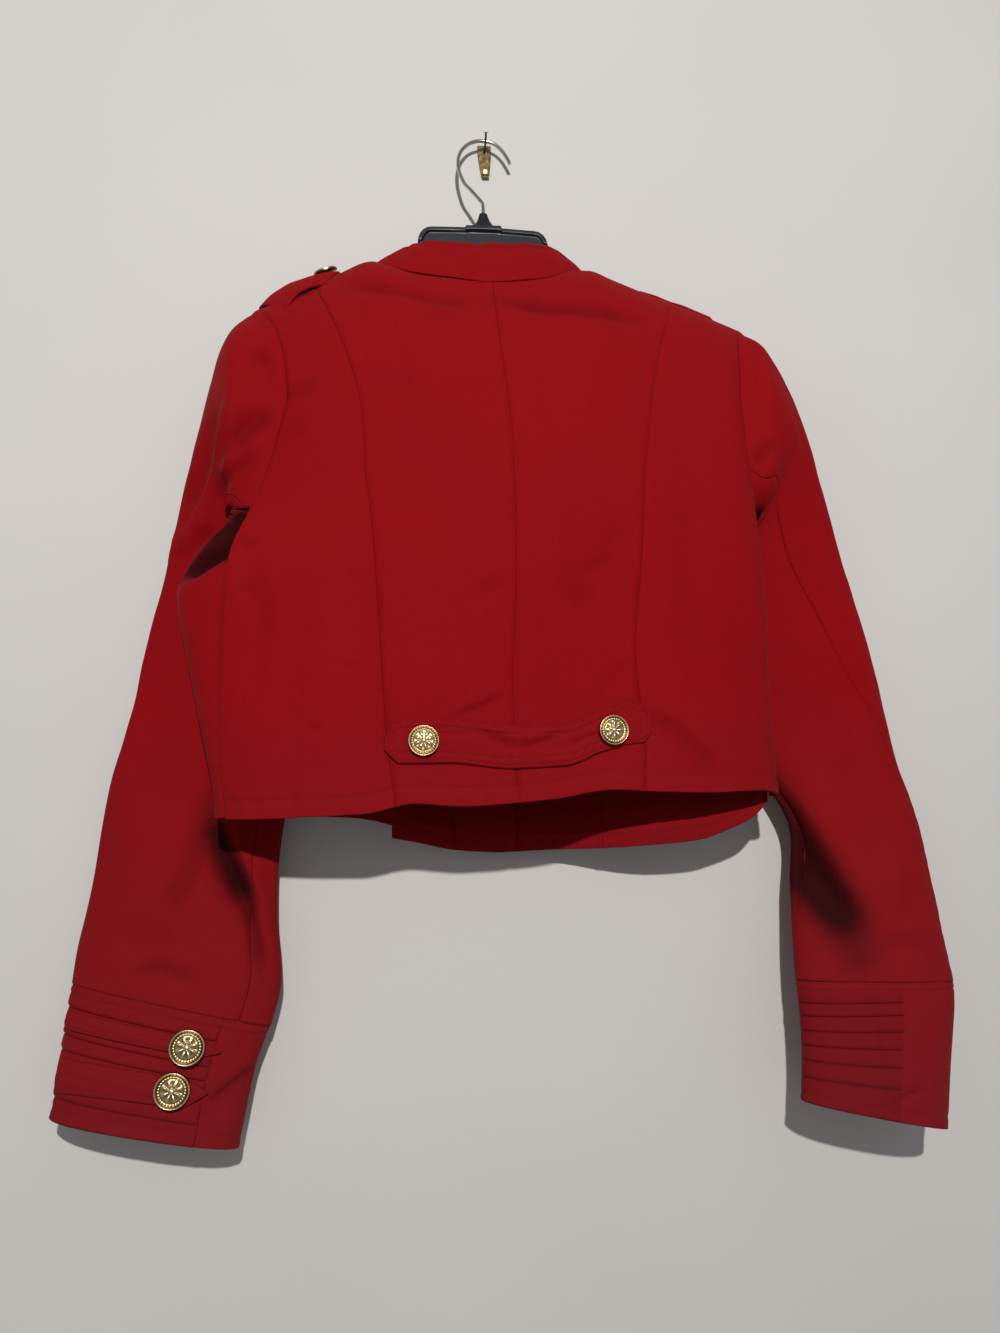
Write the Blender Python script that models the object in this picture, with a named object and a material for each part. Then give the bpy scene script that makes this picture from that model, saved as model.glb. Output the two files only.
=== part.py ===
"""Cropped military-style jacket with a back half belt, hung on a hanger from a small wall hook.

Metres, +Z up. The wall is the plane y = 0 and the jacket's back faces -Y. The origin is the middle of the
wall plate's back face. The tables below are written in a working frame that SHIFT moves to that origin.
Each cut piece is one closed shell, offset inwards from its outer surface by the cloth's thickness.
"""
import math

import bpy
import numpy as np

SHIFT = np.array([-0.004, 0.0, -0.009])
CLOTH = 0.0016
SLEEVE_CLOTH = 0.0010
STRAP_CLOTH = 0.0024
SEAM = 0.0002
SHOULDER_GAP = 0.0003
LIFT = 0.0004
COLLAR_CLOTH = 0.0022
COLLAR_LIFT = 0.0011
LAYER = 0.0031
ARMHOLE_GAP = 0.0007
BELT_BUTTON = 0.0108
CUFF_BUTTON = 0.0120
SMALL_BUTTON = 0.0100
WIRE = 0.0016
FACING_CLOTH = 0.0012
FACING_GAP = 0.0004
# The closed front does not show: three plain buttons on the wall side, a stated guess.
FRONT_BUTTON_X = -0.0350
FRONT_BUTTONS = [("front_button_upper", -0.2600), ("front_button_middle", -0.3750), ("front_button_lower", -0.4900)]

# Body section by height: left and right extreme x, back y, side y, front y.
BODY = np.array([
    # z, left, right, back, side, front
    (-0.610, -0.2130, 0.1960, -0.1040, -0.0600, -0.0110),
    (-0.580, -0.2130, 0.1960, -0.1040, -0.0600, -0.0110),
    (-0.530, -0.2215, 0.1975, -0.1040, -0.0590, -0.0110),
    (-0.485, -0.2315, 0.1990, -0.1030, -0.0580, -0.0110),
    (-0.452, -0.2380, 0.2023, -0.1020, -0.0580, -0.0110),
    (-0.415, -0.2440, 0.2030, -0.1020, -0.0580, -0.0110),
    (-0.385, -0.2320, 0.2032, -0.1010, -0.0580, -0.0120),
    (-0.355, -0.2080, 0.2025, -0.1000, -0.0570, -0.0130),
    (-0.320, -0.2020, 0.2040, -0.0990, -0.0550, -0.0140),
    (-0.100, -0.2020, 0.2080, -0.0980, -0.0520, -0.0140),
])

# Where each vertical seam of the back lies: (z, x) from hem to top.
SIDE_LEFT = [(-0.581, -0.2044), (-0.526, -0.2098), (-0.472, -0.2094), (-0.399, -0.2047), (-0.355, -0.1900),
             (-0.335, -0.1805), (-0.305, -0.1723), (-0.264, -0.1635), (-0.217, -0.1660), (-0.191, -0.1700),
             (-0.1665, -0.1900)]
PRINCESS_LEFT = [(-0.577, -0.0884), (-0.521, -0.0938), (-0.459, -0.0967), (-0.388, -0.1003), (-0.332, -0.1047),
                 (-0.277, -0.1082), (-0.231, -0.1176), (-0.201, -0.1253), (-0.172, -0.1340), (-0.1465, -0.1447)]
CENTRE_BACK = [(-0.576, -0.0032), (-0.5565, -0.0047), (-0.502, -0.0049), (-0.434, 0.0004), (-0.316, 0.0048),
               (-0.274, 0.0032), (-0.231, 0.0007), (-0.203, -0.0005), (-0.1586, -0.0020)]
PRINCESS_RIGHT = [(-0.5705, 0.0858), (-0.541, 0.0887), (-0.493, 0.0859), (-0.396, 0.0971), (-0.323, 0.1072),
                  (-0.261, 0.1186), (-0.216, 0.1292), (-0.1505, 0.1501)]
ARMHOLE_RIGHT = [(-0.355, 0.2020), (-0.319, 0.2010), (-0.305, 0.1990), (-0.264, 0.1985), (-0.2255, 0.2027),
                 (-0.202, 0.2068), (-0.1735, 0.2130)]

HEM_BACK = [(-0.2130, -0.5800), (-0.2044, -0.5810), (-0.1685, -0.5825), (-0.1106, -0.5820), (-0.0762, -0.5764),
            (-0.0405, -0.5794), (0.0188, -0.5766), (0.0603, -0.5713), (0.0991, -0.5735), (0.1377, -0.5747),
            (0.1800, -0.5736), (0.1960, -0.5768)]
HEM_FRONT_LEFT = [(-0.2130, -0.5800), (-0.1600, -0.5790), (-0.1200, -0.5810), (-0.0940, -0.5870),
                  (-0.0764, -0.5970), (-0.0488, -0.6040), (-0.0050, -0.6075), (0.0100, -0.6080)]
HEM_FRONT_RIGHT = [(-0.0960, -0.5960), (-0.0764, -0.5998), (-0.0488, -0.6054), (-0.0050, -0.6090),
                   (0.0327, -0.6085), (0.0722, -0.6092), (0.1333, -0.6067), (0.1647, -0.5980),
                   (0.1789, -0.5920), (0.1960, -0.5768)]

# The shoulder and neck line: x, y, z, from the left shoulder tip to the right one.
TOP_BACK = np.array([
    (-0.1900, -0.0320, -0.1665), (-0.1625, -0.0320, -0.1560), (-0.1447, -0.0320, -0.1465),
    (-0.1265, -0.0325, -0.1345), (-0.0980, -0.0340, -0.1226), (-0.0881, -0.0450, -0.1313),
    (-0.0656, -0.0580, -0.1444), (-0.0196, -0.0700, -0.1572), (-0.0020, -0.0710, -0.1586),
    (0.0421, -0.0600, -0.1465), (0.0694, -0.0450, -0.1292), (0.0823, -0.0340, -0.1241),
    (0.0986, -0.0325, -0.1304), (0.1185, -0.0320, -0.1385), (0.1501, -0.0320, -0.1505),
    (0.1832, -0.0320, -0.1625), (0.2130, -0.0320, -0.1735)])
TOP_FRONT = np.array([
    (-0.1900, -0.0320, -0.1665), (-0.1625, -0.0320, -0.1560), (-0.1447, -0.0320, -0.1465),
    (-0.1265, -0.0325, -0.1345), (-0.0980, -0.0340, -0.1226), (-0.0945, -0.0225, -0.1340),
    (-0.0740, -0.0165, -0.1620), (-0.0450, -0.0140, -0.1820), (-0.0050, -0.0130, -0.1900),
    (0.0350, -0.0140, -0.1800), (0.0620, -0.0165, -0.1600), (0.0800, -0.0225, -0.1350),
    (0.0823, -0.0340, -0.1241), (0.0986, -0.0325, -0.1304), (0.1185, -0.0320, -0.1385),
    (0.1501, -0.0320, -0.1505), (0.1832, -0.0320, -0.1625), (0.2130, -0.0320, -0.1735)])

# Stand collar, from the right front edge round the back to the left front edge: seam point, top point.
COLLAR = np.array([
    (-0.0600, -0.0152, -0.1721, -0.0480, -0.0180, -0.1400),
    (-0.0400, -0.0138, -0.1834, -0.0300, -0.0160, -0.1500),
    (-0.0050, -0.0130, -0.1900, -0.0050, -0.0150, -0.1560),
    (0.0350, -0.0140, -0.1800, 0.0250, -0.0160, -0.1480),
    (0.0620, -0.0165, -0.1600, 0.0440, -0.0190, -0.1300),
    (0.0800, -0.0225, -0.1350, 0.0545, -0.0255, -0.1120),
    (0.0823, -0.0340, -0.1241, 0.0560, -0.0360, -0.1030),
    (0.0694, -0.0450, -0.1292, 0.0500, -0.0450, -0.1045),
    (0.0421, -0.0600, -0.1465, 0.0330, -0.0550, -0.1110),
    (-0.0020, -0.0710, -0.1586, -0.0040, -0.0620, -0.1170),
    (-0.0196, -0.0700, -0.1572, -0.0180, -0.0610, -0.1165),
    (-0.0656, -0.0580, -0.1444, -0.0480, -0.0530, -0.1100),
    (-0.0881, -0.0450, -0.1313, -0.0610, -0.0440, -0.1055),
    (-0.0980, -0.0340, -0.1226, -0.0655, -0.0360, -0.1040),
    (-0.0945, -0.0225, -0.1340, -0.0640, -0.0262, -0.1130),
    (-0.0740, -0.0196, -0.1620, -0.0520, -0.0228, -0.1300),
    (-0.0450, -0.0172, -0.1820, -0.0340, -0.0195, -0.1490),
    (0.0030, -0.0165, -0.1892, 0.0020, -0.0185, -0.1560)])

# Sleeve rings after the armhole: outer edge x z, inner edge x z, outer y, inner y, half depth.
SLEEVE_LEFT = [
    (-0.2050, -0.1790, -0.2110, -0.3430, -0.0370, -0.0500, 0.0350),
    (-0.2175, -0.2038, -0.2120, -0.3450, -0.0390, -0.0430, 0.0340),
    (-0.2290, -0.2480, -0.2078, -0.3500, -0.0380, -0.0340, 0.0270),
    (-0.2370, -0.2780, -0.2046, -0.3600, -0.0360, -0.0270, 0.0200),
    (-0.2445, -0.3100, -0.1980, -0.3790, -0.0320, -0.0210, 0.0165),
    (-0.2525, -0.3500, -0.1810, -0.4080, -0.0280, -0.0170, 0.0120),
    (-0.2620, -0.3950, -0.1640, -0.4420, -0.0240, -0.0150, 0.0110),
    (-0.2717, -0.4374, -0.1600, -0.4760, -0.0210, -0.0150, 0.0110),
    (-0.2814, -0.4861, -0.1600, -0.5150, -0.0200, -0.0160, 0.0115),
    (-0.2939, -0.5436, -0.1680, -0.5600, -0.0200, -0.0170, 0.0125),
    (-0.3018, -0.5935, -0.1740, -0.6110, -0.0220, -0.0210, 0.0150),
    (-0.3081, -0.6396, -0.1725, -0.6560, -0.0240, -0.0240, 0.0170),
    (-0.3115, -0.6660, -0.1705, -0.6930, -0.0255, -0.0260, 0.0185),
    (-0.3133, -0.6870, -0.1780, -0.7230, -0.0265, -0.0275, 0.0190)]
CUFF_LEFT = [
    (-0.3135, -0.6876, -0.1782, -0.7236, -0.0265, -0.0275, 0.0192),
    (-0.3158, -0.7080, -0.1860, -0.7430, -0.0270, -0.0280, 0.0195),
    (-0.3185, -0.7330, -0.1915, -0.7650, -0.0275, -0.0285, 0.0198),
    (-0.3228, -0.7740, -0.1980, -0.8005, -0.0290, -0.0300, 0.0200)]
SLEEVE_RIGHT = [
    (0.2237, -0.1812, 0.2110, -0.3460, -0.0340, -0.0480, 0.0350),
    (0.2310, -0.1936, 0.2150, -0.3480, -0.0360, -0.0440, 0.0340),
    (0.2430, -0.2220, 0.2160, -0.3520, -0.0380, -0.0380, 0.0300),
    (0.2545, -0.2480, 0.2110, -0.3590, -0.0380, -0.0320, 0.0260),
    (0.2643, -0.2796, 0.2000, -0.3700, -0.0375, -0.0250, 0.0200),
    (0.2730, -0.3250, 0.1820, -0.3920, -0.0365, -0.0200, 0.0145),
    (0.2815, -0.3720, 0.1660, -0.4230, -0.0350, -0.0190, 0.0135),
    (0.2910, -0.4180, 0.1680, -0.4550, -0.0335, -0.0190, 0.0135),
    (0.3010, -0.4736, 0.1730, -0.4960, -0.0330, -0.0200, 0.0140),
    (0.3060, -0.5200, 0.1850, -0.5330, -0.0340, -0.0220, 0.0145),
    (0.3085, -0.5520, 0.2000, -0.5600, -0.0350, -0.0260, 0.0155),
    (0.3171, -0.5934, 0.2160, -0.5980, -0.0380, -0.0330, 0.0170),
    (0.3202, -0.6434, 0.2100, -0.6420, -0.0420, -0.0400, 0.0180),
    (0.3222, -0.6879, 0.2050, -0.6830, -0.0460, -0.0450, 0.0185),
    (0.3240, -0.7170, 0.2038, -0.7100, -0.0480, -0.0480, 0.0190)]
CUFF_RIGHT = [
    (0.3240, -0.7176, 0.2036, -0.7106, -0.0480, -0.0480, 0.0192),
    (0.3205, -0.7360, 0.2030, -0.7330, -0.0500, -0.0500, 0.0196),
    (0.3110, -0.7735, 0.2010, -0.7620, -0.0520, -0.0520, 0.0198),
    (0.3013, -0.8162, 0.1960, -0.7915, -0.0540, -0.0540, 0.0200)]
# Angle of the back and front sleeve seams (degrees from the outer edge, over the back), by row fraction.
SEAMS_LEFT = [(0.0, 120.0, 244.0), (0.15, 112.0, 244.0), (0.45, 132.0, 244.0), (1.0, 138.0, 240.0)]
SEAMS_RIGHT = [(0.0, 124.0, 232.0), (0.25, 112.0, 232.0), (0.45, 88.0, 226.0), (0.60, 58.0, 215.0),
               (0.70, 26.0, 205.0), (1.0, 18.0, 200.0)]

# Belt outline: (x, top z, bottom z) along it.
BELT = [(-0.0950, -0.5300, -0.5395), (-0.0862, -0.5183, -0.5490), (-0.0500, -0.5185, -0.5500),
        (-0.0072, -0.5243, -0.5552), (0.0300, -0.5240, -0.5540), (0.0560, -0.5150, -0.5450),
        (0.0782, -0.5079, -0.5400), (0.0870, -0.5110, -0.5392), (0.0935, -0.5200, -0.5300)]
BELT_BUTTONS = [(-0.0680, -0.5343), (0.0641, -0.5302)]
# Cuff tabs: start angle, tip angle, middle row at the start and at the tip, half height in rows, button angle.
TABS = [(20.0, 126.0, 0.36, 0.33, 0.085, 104.0), (20.0, 123.0, 0.76, 0.70, 0.080, 101.0)]
TAB_LIFT = 0.0008
TAB_CLOTH = 0.0018
# Epaulettes: inner tip, outer sewn end (x along the shoulder), rise of the middle above the cloth.
EPAULETTES = {"left": (-0.1250, -0.1885, 0.0085), "right": (0.1130, 0.2105, 0.0020)}
EPAULETTE_HALF = 0.0185
# Epaulette section: fraction of the half width, drop below the middle.
EPAULETTE_DROP = [(-1.0, 0.0048), (-0.6, 0.0018), (0.0, 0.0), (0.45, 0.0040), (0.80, 0.0130)]


def smooth(rows, count, knots=None):
    """Catmull-Rom samples through the rows, by index fraction or by given fractions."""
    pts = np.asarray(rows, float)
    n = len(pts) - 1
    t = np.linspace(0, n, count) if knots is None else np.asarray(knots) * n
    i = np.clip(np.floor(t).astype(int), 0, n - 1)
    f = (t - i)[:, None]
    a, b, c, d = pts[np.clip(i - 1, 0, n)], pts[i], pts[i + 1], pts[np.clip(i + 2, 0, n)]
    return 0.5 * (2 * b + (c - a) * f + (2 * a - 5 * b + 4 * c - d) * f ** 2 + (3 * b - 3 * c + d - a) * f ** 3)


def at(table, key, column=1):
    """Linear look-up in a table whose first column rises."""
    tab = np.asarray(table, float)
    return np.interp(key, tab[:, 0], tab[:, column])


def step(start, end, x):
    """A smooth 0 to 1 step between two values, which may run downwards."""
    t = np.clip((np.asarray(x, float) - start) / (end - start), 0, 1)
    return t * t * (3 - 2 * t)


def ring(alpha, z):
    """x and y of the body's outer surface at an angle (0 centre back, +-180 centre front)."""
    left, right, back, side, front = (at(BODY, z, k) for k in range(1, 6))
    u, c = np.sin(alpha), np.cos(alpha)
    x = (left + right) / 2 + (right - left) / 2 * u
    behind = side + (back - side) * np.abs(c) ** 0.75
    low = step(-0.300, -0.360, z) if z > -0.36 else 1.0
    dent = 1 - 0.55 * low * step(0.18, 0.62, np.abs(u))
    ahead = side + (front - side) * dent * np.abs(c) ** (0.45 + 0.55 * low)
    return x, np.where(c >= 0, behind, ahead)


def angle(x, z):
    """The back angle whose ring point has this x."""
    left, right = at(BODY, z, 1), at(BODY, z, 2)
    return np.arcsin(np.clip((x - (left + right) / 2) / ((right - left) / 2), -0.999, 0.999))


ARMPIT = -0.355
HEM = -0.580


def top_point(line, x):
    pts = line
    return np.interp(x, pts[:, 0], pts[:, 1]), np.interp(x, pts[:, 0], pts[:, 2])


def sheet_point(alphas, tops, hem, line, s, v, knots):
    """One point grid of a body sheet: s across the control columns, v 0..1 hem to armpit and 1..2 above it."""
    out = np.zeros((len(s), len(v), 3))
    for j, row in enumerate(v):
        if row <= 1:
            level = HEM + (ARMPIT - HEM) * row
            a = np.interp(s, knots, [f(level) for f in alphas])
            x, y = ring(a, level)
            z = at(hem, x) * (1 - row) + ARMPIT * row
        else:
            t = row - 1
            ends = np.array([top_point(line, x0)[1] for x0 in tops])
            levels = ARMPIT + (ends - ARMPIT) * t
            a = np.interp(s, knots, [f(lev) for f, lev in zip(alphas, levels)])
            xr, yr = ring(a, ARMPIT + 0.14 * t)
            xt = np.interp(s, knots, tops)
            x = xr * (1 - t ** 6) + xt * t ** 6
            yt, zt = top_point(line, x * 0 + xt)
            wide = step(0.12, 0.32, np.abs(s))
            g = np.clip(1 - t ** 2.6, 0, 1) ** (1 / (1 + wide))
            y = yt + (yr - yt) * g
            z = ARMPIT + (zt - ARMPIT) * t
        out[:, j] = np.stack([x, y, z + 0 * x], axis=1)
    return out


def rows_v(below, above):
    low = np.linspace(0, 1, below + 1)
    high = 1 + np.sin(np.linspace(0, math.pi / 2, above + 1))[1:]
    return np.concatenate([low, high])


def normals(grid):
    """Unit normals of a grid."""
    du = np.gradient(grid, axis=0)
    dv = np.gradient(grid, axis=1)
    n = np.cross(du, dv)
    n /= np.maximum(np.linalg.norm(n, axis=2, keepdims=True), 1e-12)
    return n


def trim(grid, amount=SEAM, ends=(True, True, True, True)):
    """Draws the edges of a grid back by the seam gap: first and last column, first and last row."""
    g = grid.copy()
    for on, take, give, axis in ((ends[0], 0, 1, 0), (ends[1], -1, -2, 0), (ends[2], 0, 1, 1), (ends[3], -1, -2, 1)):
        if not on:
            continue
        edge = g[take] if axis == 0 else g[:, take]
        near = g[give] if axis == 0 else g[:, give]
        d = near - edge
        d = d / np.maximum(np.linalg.norm(d, axis=1, keepdims=True), 1e-9)
        if axis == 0:
            g[take] = edge + d * amount
        else:
            g[:, take] = edge + d * amount
    return g


def mesh(name, verts, faces):
    data = bpy.data.meshes.new(name)
    data.from_pydata([tuple(p) for p in np.asarray(verts) + SHIFT], [], faces)
    data.validate()
    data.update()
    obj = bpy.data.objects.new(name, data)
    bpy.context.scene.collection.objects.link(obj)
    return obj


def shell(name, outer, inner, closed=False):
    """A closed solid between two grids of the same size. Faces point out when outer x inner agree."""
    nu, nv = outer.shape[:2]
    verts = np.concatenate([outer.reshape(-1, 3), inner.reshape(-1, 3)])
    base = nu * nv

    def a(i, j):
        return (i % nu) * nv + j

    def b(i, j):
        return base + (i % nu) * nv + j

    faces = []
    span = nu if closed else nu - 1
    for i in range(span):
        for j in range(nv - 1):
            faces.append((a(i, j), a(i + 1, j), a(i + 1, j + 1), a(i, j + 1)))
            faces.append((b(i, j), b(i, j + 1), b(i + 1, j + 1), b(i + 1, j)))
        faces.append((a(i, 0), b(i, 0), b(i + 1, 0), a(i + 1, 0)))
        faces.append((a(i, nv - 1), a(i + 1, nv - 1), b(i + 1, nv - 1), b(i, nv - 1)))
    if not closed:
        for j in range(nv - 1):
            faces.append((a(0, j), a(0, j + 1), b(0, j + 1), b(0, j)))
            faces.append((a(nu - 1, j), b(nu - 1, j), b(nu - 1, j + 1), a(nu - 1, j + 1)))
    mid = (outer + inner) / 2
    du, dv = np.gradient(mid, axis=0), np.gradient(mid, axis=1)
    if np.sum(np.cross(du, dv) * (outer - inner)) < 0:
        faces = [f[::-1] for f in faces]
    return mesh(name, verts, faces)


def cloth(name, grid, n, thick=CLOTH, ends=(True, True, True, True), closed=False):
    outer, inner = grid, grid - n * thick
    if not closed:
        outer, inner = trim(outer, ends=ends), trim(inner, ends=ends)
    return shell(name, outer, inner, closed)


def body_sheets():
    """Grids and normals of the back, the left front and the right front, with seam column numbers."""
    v = rows_v(9, 8)
    tops = [-0.1900, -0.1447, -0.0020, 0.1501, 0.2130]
    knots = [-1, -0.5, 0, 0.5, 1]
    s = np.concatenate([np.linspace(-1, -0.5, 6), np.interp([-0.1265, -0.0980, -0.0881, -0.0656, -0.0196, -0.0020,
                        0.0421, 0.0694, 0.0823, 0.0986, 0.1185], tops, knots), np.linspace(0.5, 1, 6)])
    right_side = [(-0.60, 100.0), (-0.40, 100.0), (ARMPIT, 98.0), (-0.335, 86.0), (-0.319, 79.0)]

    def right_alpha(z):
        if z < -0.319:
            return math.radians(at(right_side, z))
        return min(angle(at(ARMHOLE_RIGHT, z), z), math.radians(79))

    def by(table):
        return lambda z: float(angle(at(table, z), z))

    left_alpha = by(SIDE_LEFT)
    alphas = [left_alpha, by(PRINCESS_LEFT), by(CENTRE_BACK), by(PRINCESS_RIGHT), right_alpha]
    back = sheet_point(alphas, tops, HEM_BACK, TOP_BACK, s, v, knots)

    def front_left_edge(z):
        if z <= ARMPIT:
            return left_alpha(z)
        return math.radians(at([(ARMPIT, math.degrees(left_alpha(ARMPIT))), (-0.348, -100.0), (-0.330, -122.0),
                                (-0.290, -133.0), (-0.240, -136.0), (-0.190, -128.0), (-0.16, -112.0)], z))

    def front_right_edge(z):
        if z <= ARMPIT:
            return right_alpha(z)
        return math.radians(at([(ARMPIT, 98.0), (-0.335, 122.0), (-0.300, 130.0), (-0.240, 128.0),
                                (-0.200, 116.0), (-0.170, 104.0)], z))

    def ahead(x):
        return lambda z: math.radians(180) - float(angle(x, z)) if x > -0.5 else 0

    def ahead_left(x):
        return lambda z: -math.radians(180) - float(angle(x, z))

    sl = np.concatenate([np.linspace(-1, -0.5, 9), np.interp([-0.1265, -0.0980, -0.0945, -0.0740, -0.0450, -0.0050,
                         0.0030], [-0.1447, 0.0030], [-0.5, 0])])
    left = sheet_point([front_left_edge, ahead_left(-0.125), ahead_left(0.003)], [-0.1900, -0.1447, 0.003],
                       HEM_FRONT_LEFT, TOP_FRONT, sl, v, [-1, -0.5, 0])
    high = step(1.55, 1.90, v)[None]
    left[..., 1] -= LAYER * (step(-0.128, -0.104, left[..., 0]) * (1 - high)
                             + step(-0.098, -0.078, left[..., 0]) * high)
    left[:, -1, 1:] += np.where(left[:, -1, :1] < -0.0975, [SHOULDER_GAP, -SHOULDER_GAP], [0, 0])
    sr = np.concatenate([np.linspace(1, 0.5, 7), np.interp([0.1150, 0.0986, 0.0823, 0.0800, 0.0620, 0.0350, -0.0050,
                         -0.0450, -0.0700], [-0.0700, 0.1300], [0, 0.5])])
    right = sheet_point([lambda z: ahead(-0.070 - 0.024 * step(-0.25, -0.55, z))(z), ahead(0.072), front_right_edge],
                        [-0.070, 0.1300, 0.2130], HEM_FRONT_RIGHT, TOP_FRONT, sr[::-1], v, [0, 0.5, 1])[::-1]
    right[:, -1, 1:] += np.where(right[:, -1, :1] > 0.0820, [SHOULDER_GAP, -SHOULDER_GAP], [0, 0])
    nb, nl, nr = normals(back), normals(left), normals(right)
    nb *= np.sign(-nb[len(s) // 2, 5, 1])
    nl *= np.sign(nl[-2, 5, 1])
    nr *= np.sign(nr[-2, 5, 1])
    below = v <= 1.0001
    for a, ia, b, ib in ((nb, 0, nl, 0), (nb, -1, nr, 0)):
        m = a[ia][below] + b[ib][below]
        m /= np.linalg.norm(m, axis=1, keepdims=True)
        a[ia][below] = m
        b[ib][below] = m
    for n, grid in ((nb, back), (nl, left), (nr, right)):
        tip = grid[:, -1]
        shoulder = (tip[:, 0] < -0.097) | (tip[:, 0] > 0.0815)
        up = np.zeros_like(tip)
        up[:, 2] = 1.0
        up[:, 0] = np.where(tip[:, 0] < 0, -0.42, 0.38)
        up /= np.linalg.norm(up, axis=1, keepdims=True)
        n[shoulder, -1] = up[shoulder]
    return v, back, nb, left, nl, right, nr


def loop_from(edge_back, edge_front, push):
    """The armhole as a loop: from the shoulder tip down the back edge, round the armpit and up the front edge."""
    pts = np.concatenate([edge_back[::-1], edge_front[1:]])
    pts = pts.copy()
    pts[:, 0] += push
    return pts


def ring_points(row, theta, fold=0.82):
    ox, oz, ix, iz, oy, iy, depth = row
    c, sn = np.cos(theta), np.sin(theta)
    cc = np.sign(c) * np.abs(c) ** fold
    ss = np.sign(sn) * np.abs(sn) ** 0.9
    mid = np.array([(ox + ix) / 2, (oy + iy) / 2, (oz + iz) / 2])
    half = np.array([(ox - ix) / 2, (oy - iy) / 2, (oz - iz) / 2])
    out = mid + cc[:, None] * half
    out[:, 1] -= ss * depth
    return out


def sleeve_grid(loop, rows, count, seams, upper, under):
    """The whole sleeve, starting on the armhole loop: columns from the front seam over the outside to the back seam,
    then on round the underarm. The last column repeats the first."""
    rings = smooth(rows, count)
    arc = np.concatenate([[0], np.cumsum(np.linalg.norm(np.diff(loop, axis=0), axis=1))])
    low = int(np.argmax(np.where(loop[:, 2] < -0.330, np.abs(loop[:, 0]), 0)))
    grid = np.zeros((upper + under + 1, count + 1, 3))
    for k in range(count + 1):
        back, front = at(seams, k / count, 1), at(seams, k / count, 2)
        th = np.radians(np.concatenate([np.linspace(front - 360, back, upper + 1),
                                        np.linspace(back, front, under + 1)[1:]]))
        if k == 0:
            turn = np.mod(th, 2 * math.pi)
            want = np.where(turn <= math.pi, turn / math.pi * arc[low],
                            arc[low] + (turn - math.pi) / math.pi * (arc[-1] - arc[low]))
            grid[:, 0] = np.stack([np.interp(want, arc, loop[:, c]) for c in range(3)], axis=1)
        else:
            ease = (0.50, 0.25, 0.10, 0.03)[k - 1] if k <= 4 else 0.0
            away = np.array([math.copysign(0.007 * k, loop[0, 0]), 0, 0])
            grid[:, k] = ease * (grid[:, 0] + away) + (1 - ease) * ring_points(rings[k - 1], th)
    centres = np.stack([(rings[:, 0] + rings[:, 2]) / 2, (rings[:, 4] + rings[:, 5]) / 2,
                        (rings[:, 1] + rings[:, 3]) / 2], axis=1)
    return grid, np.concatenate([[loop.mean(axis=0)], centres])


def tube_normals(grid, centres):
    """Unit normals of a closed tube grid whose last column repeats the first, turned away from its axis."""
    ring_ = grid[:-1]
    du = np.roll(ring_, -1, axis=0) - np.roll(ring_, 1, axis=0)
    dv = np.gradient(ring_, axis=1)
    n = np.cross(du, dv)
    n /= np.maximum(np.linalg.norm(n, axis=2, keepdims=True), 1e-12)
    if np.sum(n * (ring_ - centres[None])) < 0:
        n = -n
    return np.concatenate([n, n[:1]])


def outward(grid, axis_points):
    """Normals of an open tube grid turned away from its axis."""
    n = normals(grid)
    return -n if np.sum(n * (grid - axis_points)) < 0 else n


def sleeve(side, loop, rows, seams, count=15, upper=14, under=9):
    grid, centres = sleeve_grid(loop, rows, count, seams, upper, under)
    n = tube_normals(grid, centres)
    cloth(f"sleeve_{side}_upper", grid[:upper + 1], n[:upper + 1], SLEEVE_CLOTH)
    cloth(f"sleeve_{side}_under", grid[upper:], n[upper:], SLEEVE_CLOTH)


def cuff(side, rows, slit, count=5, steps=25):
    """The cuff band: one strip round the wrist, its ends meeting at the vent."""
    th = np.radians(np.linspace(slit, slit + 360, steps))
    rings = smooth(rows, count)
    grid = np.stack([ring_points(r, th) for r in rings], axis=1)
    centres = np.stack([(rings[:, 0] + rings[:, 2]) / 2, (rings[:, 4] + rings[:, 5]) / 2,
                        (rings[:, 1] + rings[:, 3]) / 2], axis=1)
    n = outward(grid, centres[None])
    n[0] = n[-1] = (n[0] + n[-1]) / np.linalg.norm(n[0] + n[-1], axis=1, keepdims=True)
    cloth(f"cuff_{side}", grid, n, thick=0.0020)


def cuff_surface(rows, theta, v):
    """Points and outward normals on a cuff at angles theta and row fractions v."""
    eps = 1e-3

    def p(th, vv):
        r = smooth(rows, 2, knots=[vv, vv])[0]
        return ring_points(r, np.array([th]))[0]

    pts, nrm = [], []
    for th, vv in zip(np.atleast_1d(theta), np.atleast_1d(v)):
        q = p(th, vv)
        n = np.cross(p(th + eps, vv) - q, p(th, min(vv + eps, 1.0)) - p(th, min(vv + eps, 1.0) - eps))
        n /= np.linalg.norm(n)
        r = smooth(rows, 2, knots=[vv, vv])[0]
        mid = np.array([(r[0] + r[2]) / 2, (r[4] + r[5]) / 2, (r[1] + r[3]) / 2])
        if np.dot(n, q - mid) < 0:
            n = -n
        pts.append(q)
        nrm.append(n)
    return np.array(pts), np.array(nrm)


def strip(name, centre_rows, lift, thick):
    """A flat strip laid on a surface: rows of (left point, right point, normal) along it."""
    low = np.array([[a + n * lift, (a + b) / 2 + n * lift, b + n * lift] for a, b, n in centre_rows])
    high = np.array([[a + n * (lift + thick), (a + b) / 2 + n * (lift + thick), b + n * (lift + thick)]
                     for a, b, n in centre_rows])
    return shell(name, high, low)


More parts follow.
